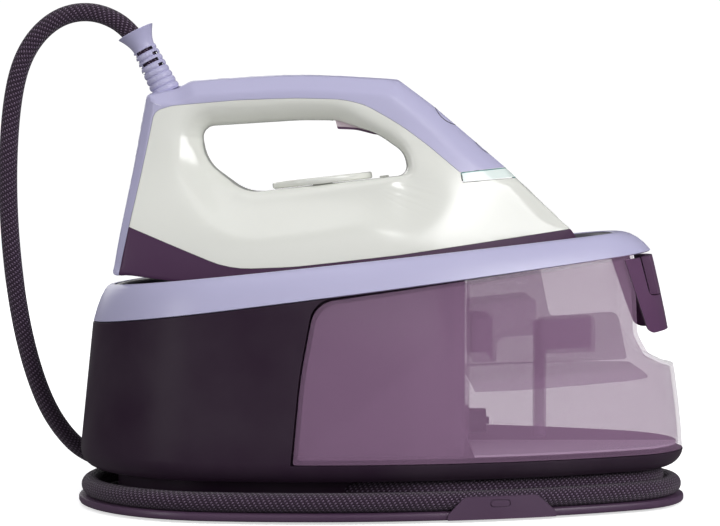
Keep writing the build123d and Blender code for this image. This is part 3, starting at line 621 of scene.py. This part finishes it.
def grip():
    """Front handle of the tank with the release button in it."""
    band = hull_solid("grip", [(z, 0.0) for z in (60.0, 100.0, 115.0, 130.0, 145.0, 175.0)])
    cut(band, hull_solid("grip_inner", [(z, 4.2) for z in (50.0, 100.0, 130.0, 180.0)]))
    keep_inside(band, rounded(GRIP_SIDE))
    button = copy_of(band, "tank_release_key")
    button_line = rounded(BUTTON_SIDE)
    cut_away(band, button_line)
    keep_inside(button, grown(button_line, -BUTTON_GAP))
    width = block("button_width", (100.0, -BUTTON_HALF, 80.0), (220.0, BUTTON_HALF, 200.0))
    cut(button, width, "INTERSECT")
    for obj in (band, button):
        bevel(obj, 0.6, 40.0)
    finish_piece(band, "tank", PLUM_HANDLE, ["tank_handle"])
    finish_piece(button, "release_button", PLUM_HANDLE, ["tank_release_button"])


# -------------------- iron
IRON_SIDE = [(-47.6, 14.2, 5.0), (-41.0, 38.0, 60.0), (-17.0, 119.2, 2.5), (1.0, 120.8, 8.0),
             (10.5, 124.4, 10.0), (75.0, 121.6, 400.0), (133.0, 111.6, 4.0), (152.7, 93.2, 90.0),
             (190.8, 52.6, 90.0), (226.8, 10.1, 8.0), (230.0, 3.4, 1.0), (8.0, 3.4, 40.0),
             (-38.0, 14.2, 30.0)]
OPENING = [(13.0, 96.8, 7.0), (71.9, 94.0, 160.0), (92.8, 91.6, 30.0), (117.6, 80.6, 40.0),
           (132.0, 68.0, 13.0), (133.4, 54.3, 9.5), (36.0, 54.3, 24.0), (13.4, 76.0, 34.0)]
MIDDLE = np.array([72.0, 72.0])  # inside the opening; the rays of the iron's skin start here
LIP_STEPS = (0.0, 0.2, 0.7, 1.5, 2.6, 4.0, 5.6, 7.6, 10.0, 12.6, 15.6)  # the skin's rows, from the lip
EDGE_STEPS = (9.6, 8.6, 7.4, 6.2, 5.0, 3.8, 2.7, 1.9, 1.3, 0.85, 0.5, 0.24, 0.07, 0.0)  # and to the outline
FULL_SPAN = 48.0  # where the skin is narrower than this, its rows lie closer
LIP_BANDS = 9  # bands of faces across the opening's inner wall
AHEAD = 262.0  # beyond the iron's nose
HEEL_CORNER = 42.2  # height at which the heel strip and the skirt line meet
SKIRT_LINE = [(23.0, 11.6, 60.0), (60.0, 8.7, 200.0), (122.0, 8.5), (AHEAD, 12.4)]
COVER_LINE = [(-1.8, 110.4, 30.0), (38.2, 109.3, 200.0), (71.3, 106.7, 200.0), (98.8, 103.0, 60.0),
              (112.1, 98.1, 40.0), (131.0, 84.3, 100.0), (145.5, 70.8, 60.0), (163.0, 52.4, 1.0)]


def heel_u(w):
    """The slanting line between the heel strip and the white body."""
    return -43.6 + (w - 10.0) * (31.0 / 98.2)


WHITE_SIDE = [(heel_u(HEEL_CORNER), HEEL_CORNER), (heel_u(108.3), 108.3, 7.0), *COVER_LINE, (AHEAD, 52.4),
              *reversed(SKIRT_LINE)]
SKIRT_SIDE = [(heel_u(-10.0), -10.0), (heel_u(HEEL_CORNER), HEEL_CORNER), *SKIRT_LINE, (AHEAD, -10.0)]
HEEL_SIDE = [(heel_u(-10.0) + 30.0, -10.0), (-6.0, 110.0), (-14.6, 114.0), (-14.6, 140.0), (-80.0, 140.0),
             (-80.0, -10.0)]
WINDOW_SIDE = [(163.3, 52.3, 1.0), (163.6, 46.2, 1.0), (AHEAD, 44.0), (AHEAD, 52.3)]
EDGE_WIDE = 0.55  # tinted line round the window's lens
EDGE_SIDE = [(150.0, 51.0), (193.0, 51.0), (197.0, 40.0), (240.0, 40.0), (240.0, 60.0), (150.0, 60.0)]
TRIGGER_ROOM = [(91.8, 103.0), (91.8, 86.0, 1.0), (122.0, 72.0), (122.0, 103.0)]
KEYS = {"steam_boost_button": ("boost_button", (159.0, 87.0), 8.2),
        "mode_button": ("mode_button_cap", (178.7, 65.6), 5.6)}  # body, place and radius
KEY_GAP = 0.45
SLOPE_NORMAL = (0.729, 0.0, 0.684)


def key_rod(spot, radius):
    """Rod square to the front slope, at a button's place."""
    place = standing((spot[0], 0.0, spot[1]), SLOPE_NORMAL)
    return turned("key_rod", [(radius, -7.5), (radius, 6.0)], place, 72)


def smooth_step(x, low, high):
    t = np.clip((x - low) / (high - low), 0.0, 1.0)
    return t * t * (3 - 2 * t)


def arc_in(x):
    """Quarter of a circle: 0 at 0 with an upright start, 1 from 1 on."""
    return np.sqrt(np.clip(1 - (1 - np.clip(x, 0.0, 1.0)) ** 2, 0.0, 1.0))


def soft_ramp(x, blur=0.08):
    """0 below 0, 1 above 1, straight between, with soft bends."""
    def over(t):
        return 0.5 * (t + np.sqrt(t * t + blur * blur))
    return over(x) - over(x - 1)


def soft_min(a, b, blur):
    """The smaller of two, rounded where they meet."""
    return 0.5 * (a + b - np.sqrt((a - b) ** 2 + blur * blur))


def dense(line, step=0.6):
    """Outline with points no further apart than step."""
    out = []
    for a, b in zip(line, np.roll(line, -1, 0)):
        count = max(1, int(np.linalg.norm(b - a) / step))
        out += [a + (b - a) * k / count for k in range(count)]
    return np.array(out)


def about_middle(line):
    """Angles and distances of an outline's points about the middle."""
    away = line - MIDDLE
    return np.arctan2(away[:, 1], away[:, 0]), np.hypot(*away.T)


def reach_at(angles, line):
    """Distance from the middle to an outline, at each angle."""
    angle, far = about_middle(line)
    order = np.argsort(angle)
    angle, far = angle[order], far[order]
    angle = np.concatenate([angle[-5:] - 2 * math.pi, angle, angle[:5] + 2 * math.pi])
    far = np.concatenate([far[-5:], far, far[:5]])
    return np.interp(angles, angle, far)


def nearest(points, line):
    """Distance from each point to an outline, and the index of the nearest outline point."""
    best, index = np.full(len(points), 1e9), np.zeros(len(points), int)
    for start in range(0, len(points), 2000):
        part = points[start:start + 2000]
        gap = ((part[:, None, :] - line[None, :, :]) ** 2).sum(2)
        index[start:start + 2000] = gap.argmin(1)
        best[start:start + 2000] = np.sqrt(gap.min(1))
    return best, index


WIDEST_U = 30.0
NOSE_LINE = ((3.4, 10.1, 52.6, 93.2, 111.6, 130.0), (230.0, 226.8, 190.8, 152.7, 133.0, 115.0))  # w, u


def full_half_width(u, w):
    """Half width of the iron's outer form before its edges are rounded."""
    middle = 18.5 + 36.0 / (1 + np.exp((w - 56.0) / 16.0))
    nose = np.interp(w, *NOSE_LINE)
    blunt = 15.0 * smooth_step(w, -10.0, 62.0)
    along = np.clip((nose - u) / (nose - WIDEST_U), 0.0, 1.0)
    ahead = blunt + (middle - blunt) * (1 - (1 - along) ** 2)
    behind = middle * (1 - 0.24 * (np.clip(WIDEST_U - u, 0.0, None) / 84.0) ** 2)
    return np.where(u > WIDEST_U, ahead, behind)


def edge_style(line):
    """Depth and width of the edge's bevel, and height of the crown, along the outer outline."""
    u, w = line[:, 0], line[:, 1]
    top = smooth_step(w, 96.0, 112.0) * smooth_step(u, -16.0, 2.0) * smooth_step(-u, -142.0, -126.0)
    low = smooth_step(-w, -22.0, -12.0)
    depth = 4.5 + 3.0 * top - 4.0 * low
    wide = 5.5 + 3.4 * top - 4.0 * low
    slope = smooth_step(u, 126.0, 140.0) * smooth_step(w, 44.0, 56.0)
    depth = depth * (1 - slope)
    crown = 1.6 - 0.2 * top - 1.0 * low + 13.0 * slope
    return depth, wide, crown


def lip_style(line):
    """Half width at the opening's lip, the lip's radius and the dish's width, along the opening."""
    u, w = line[:, 0], line[:, 1]
    low = smooth_step(-w, -78.0, -56.0) * smooth_step(u, 10.0, 40.0) * smooth_step(-u, -150.0, -118.0)
    high = smooth_step(w, 80.0, 92.0)
    half = 17.2 + 13.6 * low - 0.6 * high
    radius = 6.5 - 1.5 * low + 5.5 * high
    dish = 18.0 + 9.0 * low - 4.0 * high + 12.0 * smooth_step(u, 100.0, 128.0) * (1 - high)
    return half, radius, dish


def iron_skin(name, inset=0.0):
    """The iron's whole outer surface: a net of rays from the opening's lip to the outline, on both
    sides, and the opening's wall between the two lips."""
    outer = dense(rounded(IRON_SIDE, 3.0))
    opening = dense(rounded(OPENING, 4.0))
    outer_in, opening_in = grown(outer, -inset), grown(opening, inset)
    spread = []
    for line, count in ((outer, 210), (opening, 130)):
        spread.append(about_middle(line)[0][np.linspace(0, len(line) - 1, count).astype(int)])
    angles = np.unique(np.round(np.concatenate(spread), 2))
    n = len(angles)
    near, far = reach_at(angles, opening_in), reach_at(angles, outer_in)
    size = np.minimum(1.0, (far - near) / FULL_SPAN)
    rows = [near + step * size for step in LIP_STEPS]
    start, end = rows[-1], far - EDGE_STEPS[0] * size
    rows += [start + (end - start) * k for k in np.linspace(0.0, 1.0, 13)[1:-1]]
    rows += [far - step * size for step in EDGE_STEPS]
    reach = np.array(rows)
    u = MIDDLE[0] + reach * np.cos(angles)
    w = MIDDLE[1] + reach * np.sin(angles)
    flat = np.column_stack([u.ravel(), w.ravel()])
    to_edge, edge_at = nearest(flat, outer_in)
    to_lip, lip_at = nearest(flat, opening_in)
    to_edge[-n:] = 0.0
    to_lip[:n] = 0.0
    depth, wide, crown = (value[edge_at] for value in edge_style(outer))
    half, radius, dish = (value[lip_at] for value in lip_style(opening))
    body = full_half_width(flat[:, 0], flat[:, 1]) - inset
    half = half - inset
    depth = np.minimum(depth, 0.45 * body)
    outside = (body - depth) * arc_in(to_edge / crown) + depth * soft_ramp((to_edge - crown * 0.6) / wide)
    rise = np.maximum(0.0, body + 1.5 - half) / dish
    dished = rise * np.clip(to_lip - 0.3 * radius, 0.0, None)
    inside = half - radius * (1 - arc_in(to_lip / radius)) + dished
    y = soft_min(outside, inside, 1.2)
    y[-n:] = 0.0
    y = np.maximum(y, 0.0)
    near_side = np.split(np.column_stack([flat[:, 0], -y, flat[:, 1]]), len(rows))
    far_side = [row * (1.0, -1.0, 1.0) for row in near_side[-2::-1]]
    across = [near_side[0] * (1.0, 1 - 2 * k / LIP_BANDS, 1.0) for k in range(LIP_BANDS - 1, 0, -1)]
    return loops_mesh(name, near_side + far_side + across, closed=True)


def to_world(obj):
    """Moves a mesh from the iron's own frame to its place on the base."""
    obj.data.transform(Matrix.Translation(Vector(IRON_AT) * MM) @ Matrix.Rotation(-IRON_TILT, 4, "Y"))
    return obj


def iron():
    """The iron's skin, cut into white body, window, skirt, buttons, lavender cover and heel strip."""
    shell = iron_skin("iron_skin")
    core = iron_skin("iron_core", IRON_WALL)
    core.data.flip_normals()
    cover = join("top_cover_shell", shell, core)
    white_line, window_line, skirt_line = rounded(WHITE_SIDE), rounded(WINDOW_SIDE), rounded(SKIRT_SIDE)
    body = keep_inside(copy_of(cover, "iron_body_shell"), grown(white_line, -SEAM))
    cut_away(body, grown(window_line, SEAM))
    cut_away(body, rounded(TRIGGER_ROOM), half=7.6)
    window = keep_inside(copy_of(cover, "light_window_lens"), grown(window_line, -SEAM / 2))
    lens_line = grown(window_line, -SEAM / 2 - EDGE_WIDE)
    edge = cut_away(copy_of(window, "light_window_edge"), lens_line)
    keep_inside(edge, EDGE_SIDE)
    keep_inside(window, lens_line)
    skirt = keep_inside(copy_of(cover, "skirt_shell"), grown(skirt_line, -SEAM))
    cut_away(cover, grown(white_line, SEAM))
    cut_away(cover, grown(skirt_line, SEAM))
    for name, (key_body, spot, radius) in KEYS.items():
        # A black ring fills the gap round each cap: painted shade of that groove.
        key, painted_gap_shade = copy_of(cover, name + "_cap"), copy_of(cover, name + "_painted_gap_shade")
        cut(key, key_rod(spot, radius - KEY_GAP), "INTERSECT")
        cut(cover, key_rod(spot, radius + KEY_GAP))
        cut(painted_gap_shade, key_rod(spot, radius + KEY_GAP), "INTERSECT")
        cut(painted_gap_shade, key_rod(spot, radius - KEY_GAP + 0.1))
        finish_piece(to_world(key), key_body, LAVENDER, [name], sharp=38.0)
        finish_piece(to_world(painted_gap_shade), "iron", BLACK, sharp=38.0)
    heel = keep_inside(copy_of(cover, "heel_cover_shell"), grown(HEEL_SIDE, -SEAM / 2))
    cut_away(cover, grown(HEEL_SIDE, SEAM / 2))
    for obj, slot_name, material, node in ((body, "white_plastic", WHITE, "iron_body"),
                                           (window, "window_plastic", WINDOW, "light_window"),
                                           (edge, "window_plastic", TEAL, "light_window"),
                                           (skirt, "skirt_plastic", SKIRT, "skirt"),
                                           (cover, "lavender_plastic", LAVENDER, "top_cover"),
                                           (heel, "lavender_plastic", LAVENDER, "heel_cover")):
        finish_piece(to_world(obj), "iron", material, [node], sharp=38.0)


# -------------------- iron's small pieces
RELIEF_AT, RELIEF_DIR = (-5.4, 0.0, 119.6), (-0.360, 0.0, 0.933)
RIB_PITCH, RIB_DEEP = 3.75, 0.55
BELL_START, RELIEF_LONG = 29.0, 40.0
DIAL_U = 81.3
DIAL_PROFILE = [(0.01, 58.4), (25.6, 58.4), (26.6, 58.2), (27.2, 58.75), (29.2, 58.7), (29.8, 58.2),
                (30.0, 57.5), (30.0, 55.6), (29.6, 55.0), (28.8, 54.7), (5.9, 54.7), (5.9, 46.2),
                (0.01, 46.2)]
LEVER_SIDE = [(92.8, 94.4, 0.5), (93.8, 86.3, 1.0), (105.0, 84.6, 30.0), (116.0, 80.4, 10.0),
              (120.8, 80.2, 1.5), (120.8, 86.0, 1.5), (104.0, 94.4, 2.0)]
TIP_LINE = [(90.0, 88.2), (94.4, 87.4), (105.4, 85.4), (116.6, 81.2), (124.0, 79.0)]
TIP_GAP = 0.1


def relief():
    """Ribbed sleeve with cross slots, opening into a bell."""
    profile = [(5.9, -9.5), (9.0, -9.5), (9.0, -6.8), (6.8, -6.8), (6.8, -1.0), (8.9, -0.6)]
    for height in np.arange(0.0, BELL_START, RIB_PITCH / 10):
        wave = abs(math.sin(math.pi * height / RIB_PITCH)) ** 0.6
        profile.append((8.4 - 1.5 * height / BELL_START - RIB_DEEP + RIB_DEEP * 1.6 * wave, height))
    for share in np.linspace(0.0, 1.0, 9):
        profile.append((6.7 + 4.6 * share ** 1.7, BELL_START + (RELIEF_LONG - BELL_START) * share))
    profile += [(11.2, RELIEF_LONG + 0.35), (10.7, RELIEF_LONG + 0.3)]
    profile += [(10.4 - 4.5 * share ** 0.6, RELIEF_LONG - 0.2 - 12.0 * share)
                for share in np.linspace(0.0, 1.0, 8)]
    place = standing(RELIEF_AT, RELIEF_DIR)
    sleeve = turned("relief_sleeve", profile, place, 80, closed=True)
    slots = []
    for row in range(4):
        height = BELL_START - RIB_PITCH * (row + 0.45)
        for front in (-1.0, 1.0):
            span = (3.4, 6.3) if row % 2 else (-5.2, 5.0)
            low, high = sorted((front * 1.5, front * 14.0))
            slots.append(block("slot", (low, span[0], height - 0.95), (high, span[1], height + 0.95)))
        slots.append(block("pinhole", (-14.0, -7.6, height - 0.7), (14.0, -6.1, height + 0.7)))
    tool = join("slots", *slots)
    tool.data.transform(Matrix.Translation(Vector(RELIEF_AT) * MM) @ place.to_3x3().to_4x4())
    cut(sleeve, tool)
    finish_piece(to_world(sleeve), "iron", LAVENDER, ["hose_strain_relief"], sharp=40.0)


def controls():
    """Steam dial with its raised rim, and the trigger under the handle."""
    disc = turned("dial_disc", DIAL_PROFILE, Matrix.Translation((DIAL_U, 0.0, 0.0)), 144)
    finish_piece(to_world(disc), "dial", WHITE, ["temperature_dial"], sharp=40.0)
    lever = prism("trigger_lever", rounded(LEVER_SIDE), half=6.9)
    tip = keep_inside(copy_of(lever, "trigger_edge"), [*TIP_LINE, (124.0, 70.0), (90.0, 70.0)])
    keep_inside(lever, [*((u, w + TIP_GAP) for u, w in TIP_LINE), (124.0, 99.0), (90.0, 99.0)])
    bevel(lever, 0.5, 40.0, 3)
    finish_piece(to_world(tip), "trigger", PLUM_HANDLE)
    finish_piece(to_world(lever), "trigger", TRIGGER, ["steam_trigger"])


# -------------------- steam hose
FREE_HOSE = [(-134.6, 0.0, 257.3), (-146.8, 0.0, 280.9), (-169.5, 0.0, 294.6), (-194.0, 0.0, 291.5),
             (-213.5, 0.5, 271.5), (-222.3, 1.5, 239.4), (-225.4, 4.0, 183.0), (-221.5, 12.0, 122.0),
             (-213.5, 25.0, 76.0), (-202.0, 41.0, 42.5), (-183.5, 61.5, 18.5), (-150.0, 80.0, 11.7)]
HOSE_ENTRY = [(4.0, -79.4, 16.6), (-46.0, -60.5, 14.5)]
NOSE_TO, REAR_FROM = 58.0, 97.0  # directions where the outline's nose ends and its rear starts
NOSE_TURNS = [58, 34, 11, -11, -34, -58]
OUTER_TURN = [106, 92, 80, 68, *NOSE_TURNS, -69, -81, -93, -113, -136, -159, -182, -205, -228, -251]
INNER_TURN = [109, 93, 81, 69, *NOSE_TURNS, -69, -81]


def wind(inset, height, normals):
    """Corners of a route whose runs touch the base's outline, moved in by inset; a normal is the
    direction, in degrees, that a run faces."""
    rear_c, nose_c = BASE_REAR + REAR_R, BASE_NOSE - NOSE_R
    side_x, side_y = side_centre(rear_c, nose_c, REAR_R, NOSE_R)

    def line(angle):
        nx, ny = math.cos(math.radians(angle)), math.sin(math.radians(angle))
        turn = abs((angle + 180.0) % 360.0 - 180.0)
        if turn < NOSE_TO:
            far = nose_c * nx + NOSE_R
        elif turn > REAR_FROM:
            far = rear_c * nx + REAR_R
        else:
            far = side_x * nx - side_y * abs(ny) + SIDE_R
        return nx, ny, far - inset

    corners = []
    for a, b in zip(normals, normals[1:]):
        (ax, ay, ad), (bx, by, bd) = line(a), line(b)
        cross = ax * by - ay * bx
        corners.append(((ad * by - bd * ay) / cross, (ax * bd - bx * ad) / cross, height))
    return corners


def spline_points(name, route):
    """Points of the smooth line whose control points are the route."""
    data = bpy.data.curves.new(name, "CURVE")
    data.dimensions = "3D"
    spline = data.splines.new("NURBS")
    spline.points.add(len(route) - 1)
    for point, spot in zip(spline.points, route):
        point.co = (*(Vector(spot) * MM), 1.0)
    spline.order_u = 3
    spline.use_endpoint_u = True
    spline.resolution_u = 14
    guide = placed(name, data)
    bpy.context.view_layer.update()
    mesh = final_mesh(guide)
    points = np.array([v.co for v in mesh.vertices])
    bpy.data.objects.remove(guide)
    bpy.data.meshes.remove(mesh)
    bpy.data.curves.remove(data)
    return points


def tube(name, points, radius, around=36):
    """Round tube along points (in metres), with its length in metres as the second UV."""
    step = np.linalg.norm(np.diff(points, axis=0), axis=1)
    points = points[np.concatenate([[True], step > 1e-6])]
    ahead = np.gradient(points, axis=0)
    ahead /= np.linalg.norm(ahead, axis=1)[:, None]
    side = np.cross(ahead[0], (0.0, 1.0, 0.0))
    along = np.concatenate([[0.0], np.cumsum(np.linalg.norm(np.diff(points, axis=0), axis=1))])
    angles = np.linspace(0.0, 2 * math.pi, around, endpoint=False)
    rings = []
    for spot, direction in zip(points, ahead):
        side = side - direction * (side @ direction)
        side /= np.linalg.norm(side)
        up = np.cross(direction, side)
        rings.append(spot + radius * (np.cos(angles)[:, None] * side + np.sin(angles)[:, None] * up))
    n = len(rings)
    faces, texture = [], []
    for i in range(n - 1):
        for k in range(around):
            a, b = i * around + k, i * around + (k + 1) % around
            faces.append((a, b, b + around, a + around))
            texture += [(k / around, along[i]), ((k + 1) / around, along[i]),
                        ((k + 1) / around, along[i + 1]), (k / around, along[i + 1])]
    faces += [tuple(range(around - 1, -1, -1)), tuple(range((n - 1) * around, n * around))]
    texture += [(0.5, 0.0)] * around + [(0.5, along[-1])] * around
    mesh = bpy.data.meshes.new(name)
    mesh.from_pydata(np.vstack(rings).tolist(), [], faces)
    layer = mesh.uv_layers.new(name="UVMap")
    layer.data.foreach_set("uv", np.array(texture, np.float32).ravel())
    mesh.update()
    return placed(name, mesh)


def hose():
    """Arch from the iron to the base, then 1.8 turns round the channel and in through its wall."""
    outer = wind(7.0, 11.7, OUTER_TURN)
    inner = wind(17.4, 16.8, INNER_TURN)
    line = spline_points("hose_guide", [*FREE_HOSE, *outer, *inner, *HOSE_ENTRY])
    obj = tube("steam_hose_braid", line, HOSE_D / 2 * MM)
    finish_piece(obj, None, HOSE, ["steam_hose"])
    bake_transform(obj)


# -------------------- room
LAMPS = (  # name, place, point it is turned to, size, watts, share in reflections, spread in degrees
    ("softbox_front", (0.2, -2.3, 0.8), (0.0, 0.0, 0.12), (1.7, 0.9), 4.2, 0.25, 180.0),
    ("softbox_right", (1.6, -1.45, 1.15), (0.1, 0.0, 0.12), (1.2, 1.2), 25.0, 0.35, 180.0),
    ("softbox_nose", (0.95, -1.2, 0.9), (0.14, -0.05, 0.18), (0.5, 0.5), 0.32, 0.2, 60.0),
    ("strip_left", (-1.15, -0.8, 0.35), (-0.1, 0.0, 0.1), (0.22, 0.9), 3.5, 5.0, 180.0),
    ("fill_back", (-1.0, 2.3, 1.1), (0.0, 0.0, 0.12), (1.8, 1.4), 13.0, 0.4, 180.0))
CAMERA_AT = (-0.0129, -1.4, 0.197)
CAMERA_DOWN, CAMERA_WIDE = 2.2, 17.54  # degrees below level, and degrees across the picture


def area_light(name, at, look, size, power, gloss, spread):
    """Soft panel turned to a point."""
    data = bpy.data.lights.new(name, "AREA")
    data.shape, data.size, data.size_y = "RECTANGLE", *size
    data.energy, data.specular_factor, data.spread = power, gloss, math.radians(spread)
    lamp = placed(name, data)
    lamp.location = at
    lamp.rotation_euler = (Vector(look) - Vector(at)).to_track_quat("-Z", "Y").to_euler()


def floor_paper():
    """White paper. Light that bounces off it is dimmer than it looks, as from a small sweep."""
    mat = plastic("floor_paper", (0.97, 0.97, 0.97, 1.0), 0.9, mottle=0.0, grain=0.0, specular=0.0)
    nodes = mat.node_tree.nodes
    shader = give(nodes["Principled BSDF"], Emission_Color=(1.0, 1.0, 1.0, 1.0), Emission_Strength=0.62)
    dim = give(nodes.new("ShaderNodeBsdfDiffuse"), Color=(0.24, 0.24, 0.24, 1.0))
    rays, mix = nodes.new("ShaderNodeLightPath"), nodes.new("ShaderNodeMixShader")
    bounced = nodes.new("ShaderNodeMath")
    bounced.operation = "MAXIMUM"
    wire(rays, "Is Diffuse Ray", bounced, 0)
    wire(rays, "Is Glossy Ray", bounced, 1)
    wire(bounced, "Value", mix, "Fac")
    wire(shader, "BSDF", mix, 1)
    wire(dim, "BSDF", mix, 2)
    wire(mix, "Shader", nodes["Material Output"], "Surface")
    return mat


def room():
    """Floor, white surroundings that hardly show in reflections, and the lamps."""
    floor = make("floor", [(-20000, -3000, 0), (20000, -3000, 0), (20000, 60000, 0), (-20000, 60000, 0)],
                 [(0, 1, 2, 3)], floor_paper())
    world = bpy.data.worlds.new("studio")
    bpy.context.scene.world = world
    world.use_nodes = True
    nodes = world.node_tree.nodes
    rays = nodes.new("ShaderNodeLightPath")
    power = give(nodes["Background"], Color=(0.35, 0.35, 0.36, 1.0))
    white = give(nodes.new("ShaderNodeBackground"), Color=(1.05, 1.05, 1.05, 1.0))
    dark = give(nodes.new("ShaderNodeBackground"), Color=(0.08, 0.08, 0.085, 1.0))
    first, second = nodes.new("ShaderNodeMixShader"), nodes.new("ShaderNodeMixShader")
    wire(rays, "Is Glossy Ray", first, "Fac")
    wire(power, "Background", first, 1)
    wire(dark, "Background", first, 2)
    wire(rays, "Is Camera Ray", second, "Fac")
    wire(first, "Shader", second, 1)
    wire(white, "Background", second, 2)
    wire(second, "Shader", nodes["World Output"], "Surface")
    data = bpy.data.lights.new("sky_panel", "SUN")
    data.energy, data.angle, data.specular_factor = 0.3, math.radians(40.0), 0.3
    placed("sky_panel", data).rotation_euler = (math.radians(16.0), math.radians(-6.0), 0.0)
    for lamp in LAMPS:
        area_light(*lamp)
    bpy.context.scene.view_settings.view_transform = "Standard"


def camera():
    data = bpy.data.cameras.new("camera")
    data.sensor_width = 36.0
    data.lens = data.sensor_width / 2 / math.tan(math.radians(CAMERA_WIDE) / 2)
    view = placed("camera", data)
    view.location = CAMERA_AT
    view.rotation_euler = (math.radians(90.0 - CAMERA_DOWN), 0.0, 0.0)
    bpy.context.scene.camera = view


def dress_cad_nodes():
    """Gives each CAD node that still shows the finished material of its slot, and soft edges."""
    slot_of = {part["node"]: part["material_slot"] for part in frame["record"]["subparts"]}
    for name, obj in frame["nodes"].items():
        if obj.hide_render:
            continue
        for place in obj.material_slots:
            place.material = BY_SLOT[slot_of[name]]
        bevel(obj, 0.3, 35.0)


camera()
room()
hose()
housing()
ring()
deck()
tank()
grip()
iron()
relief()
plate()
tank_inside()
controls()
dress_cad_nodes()
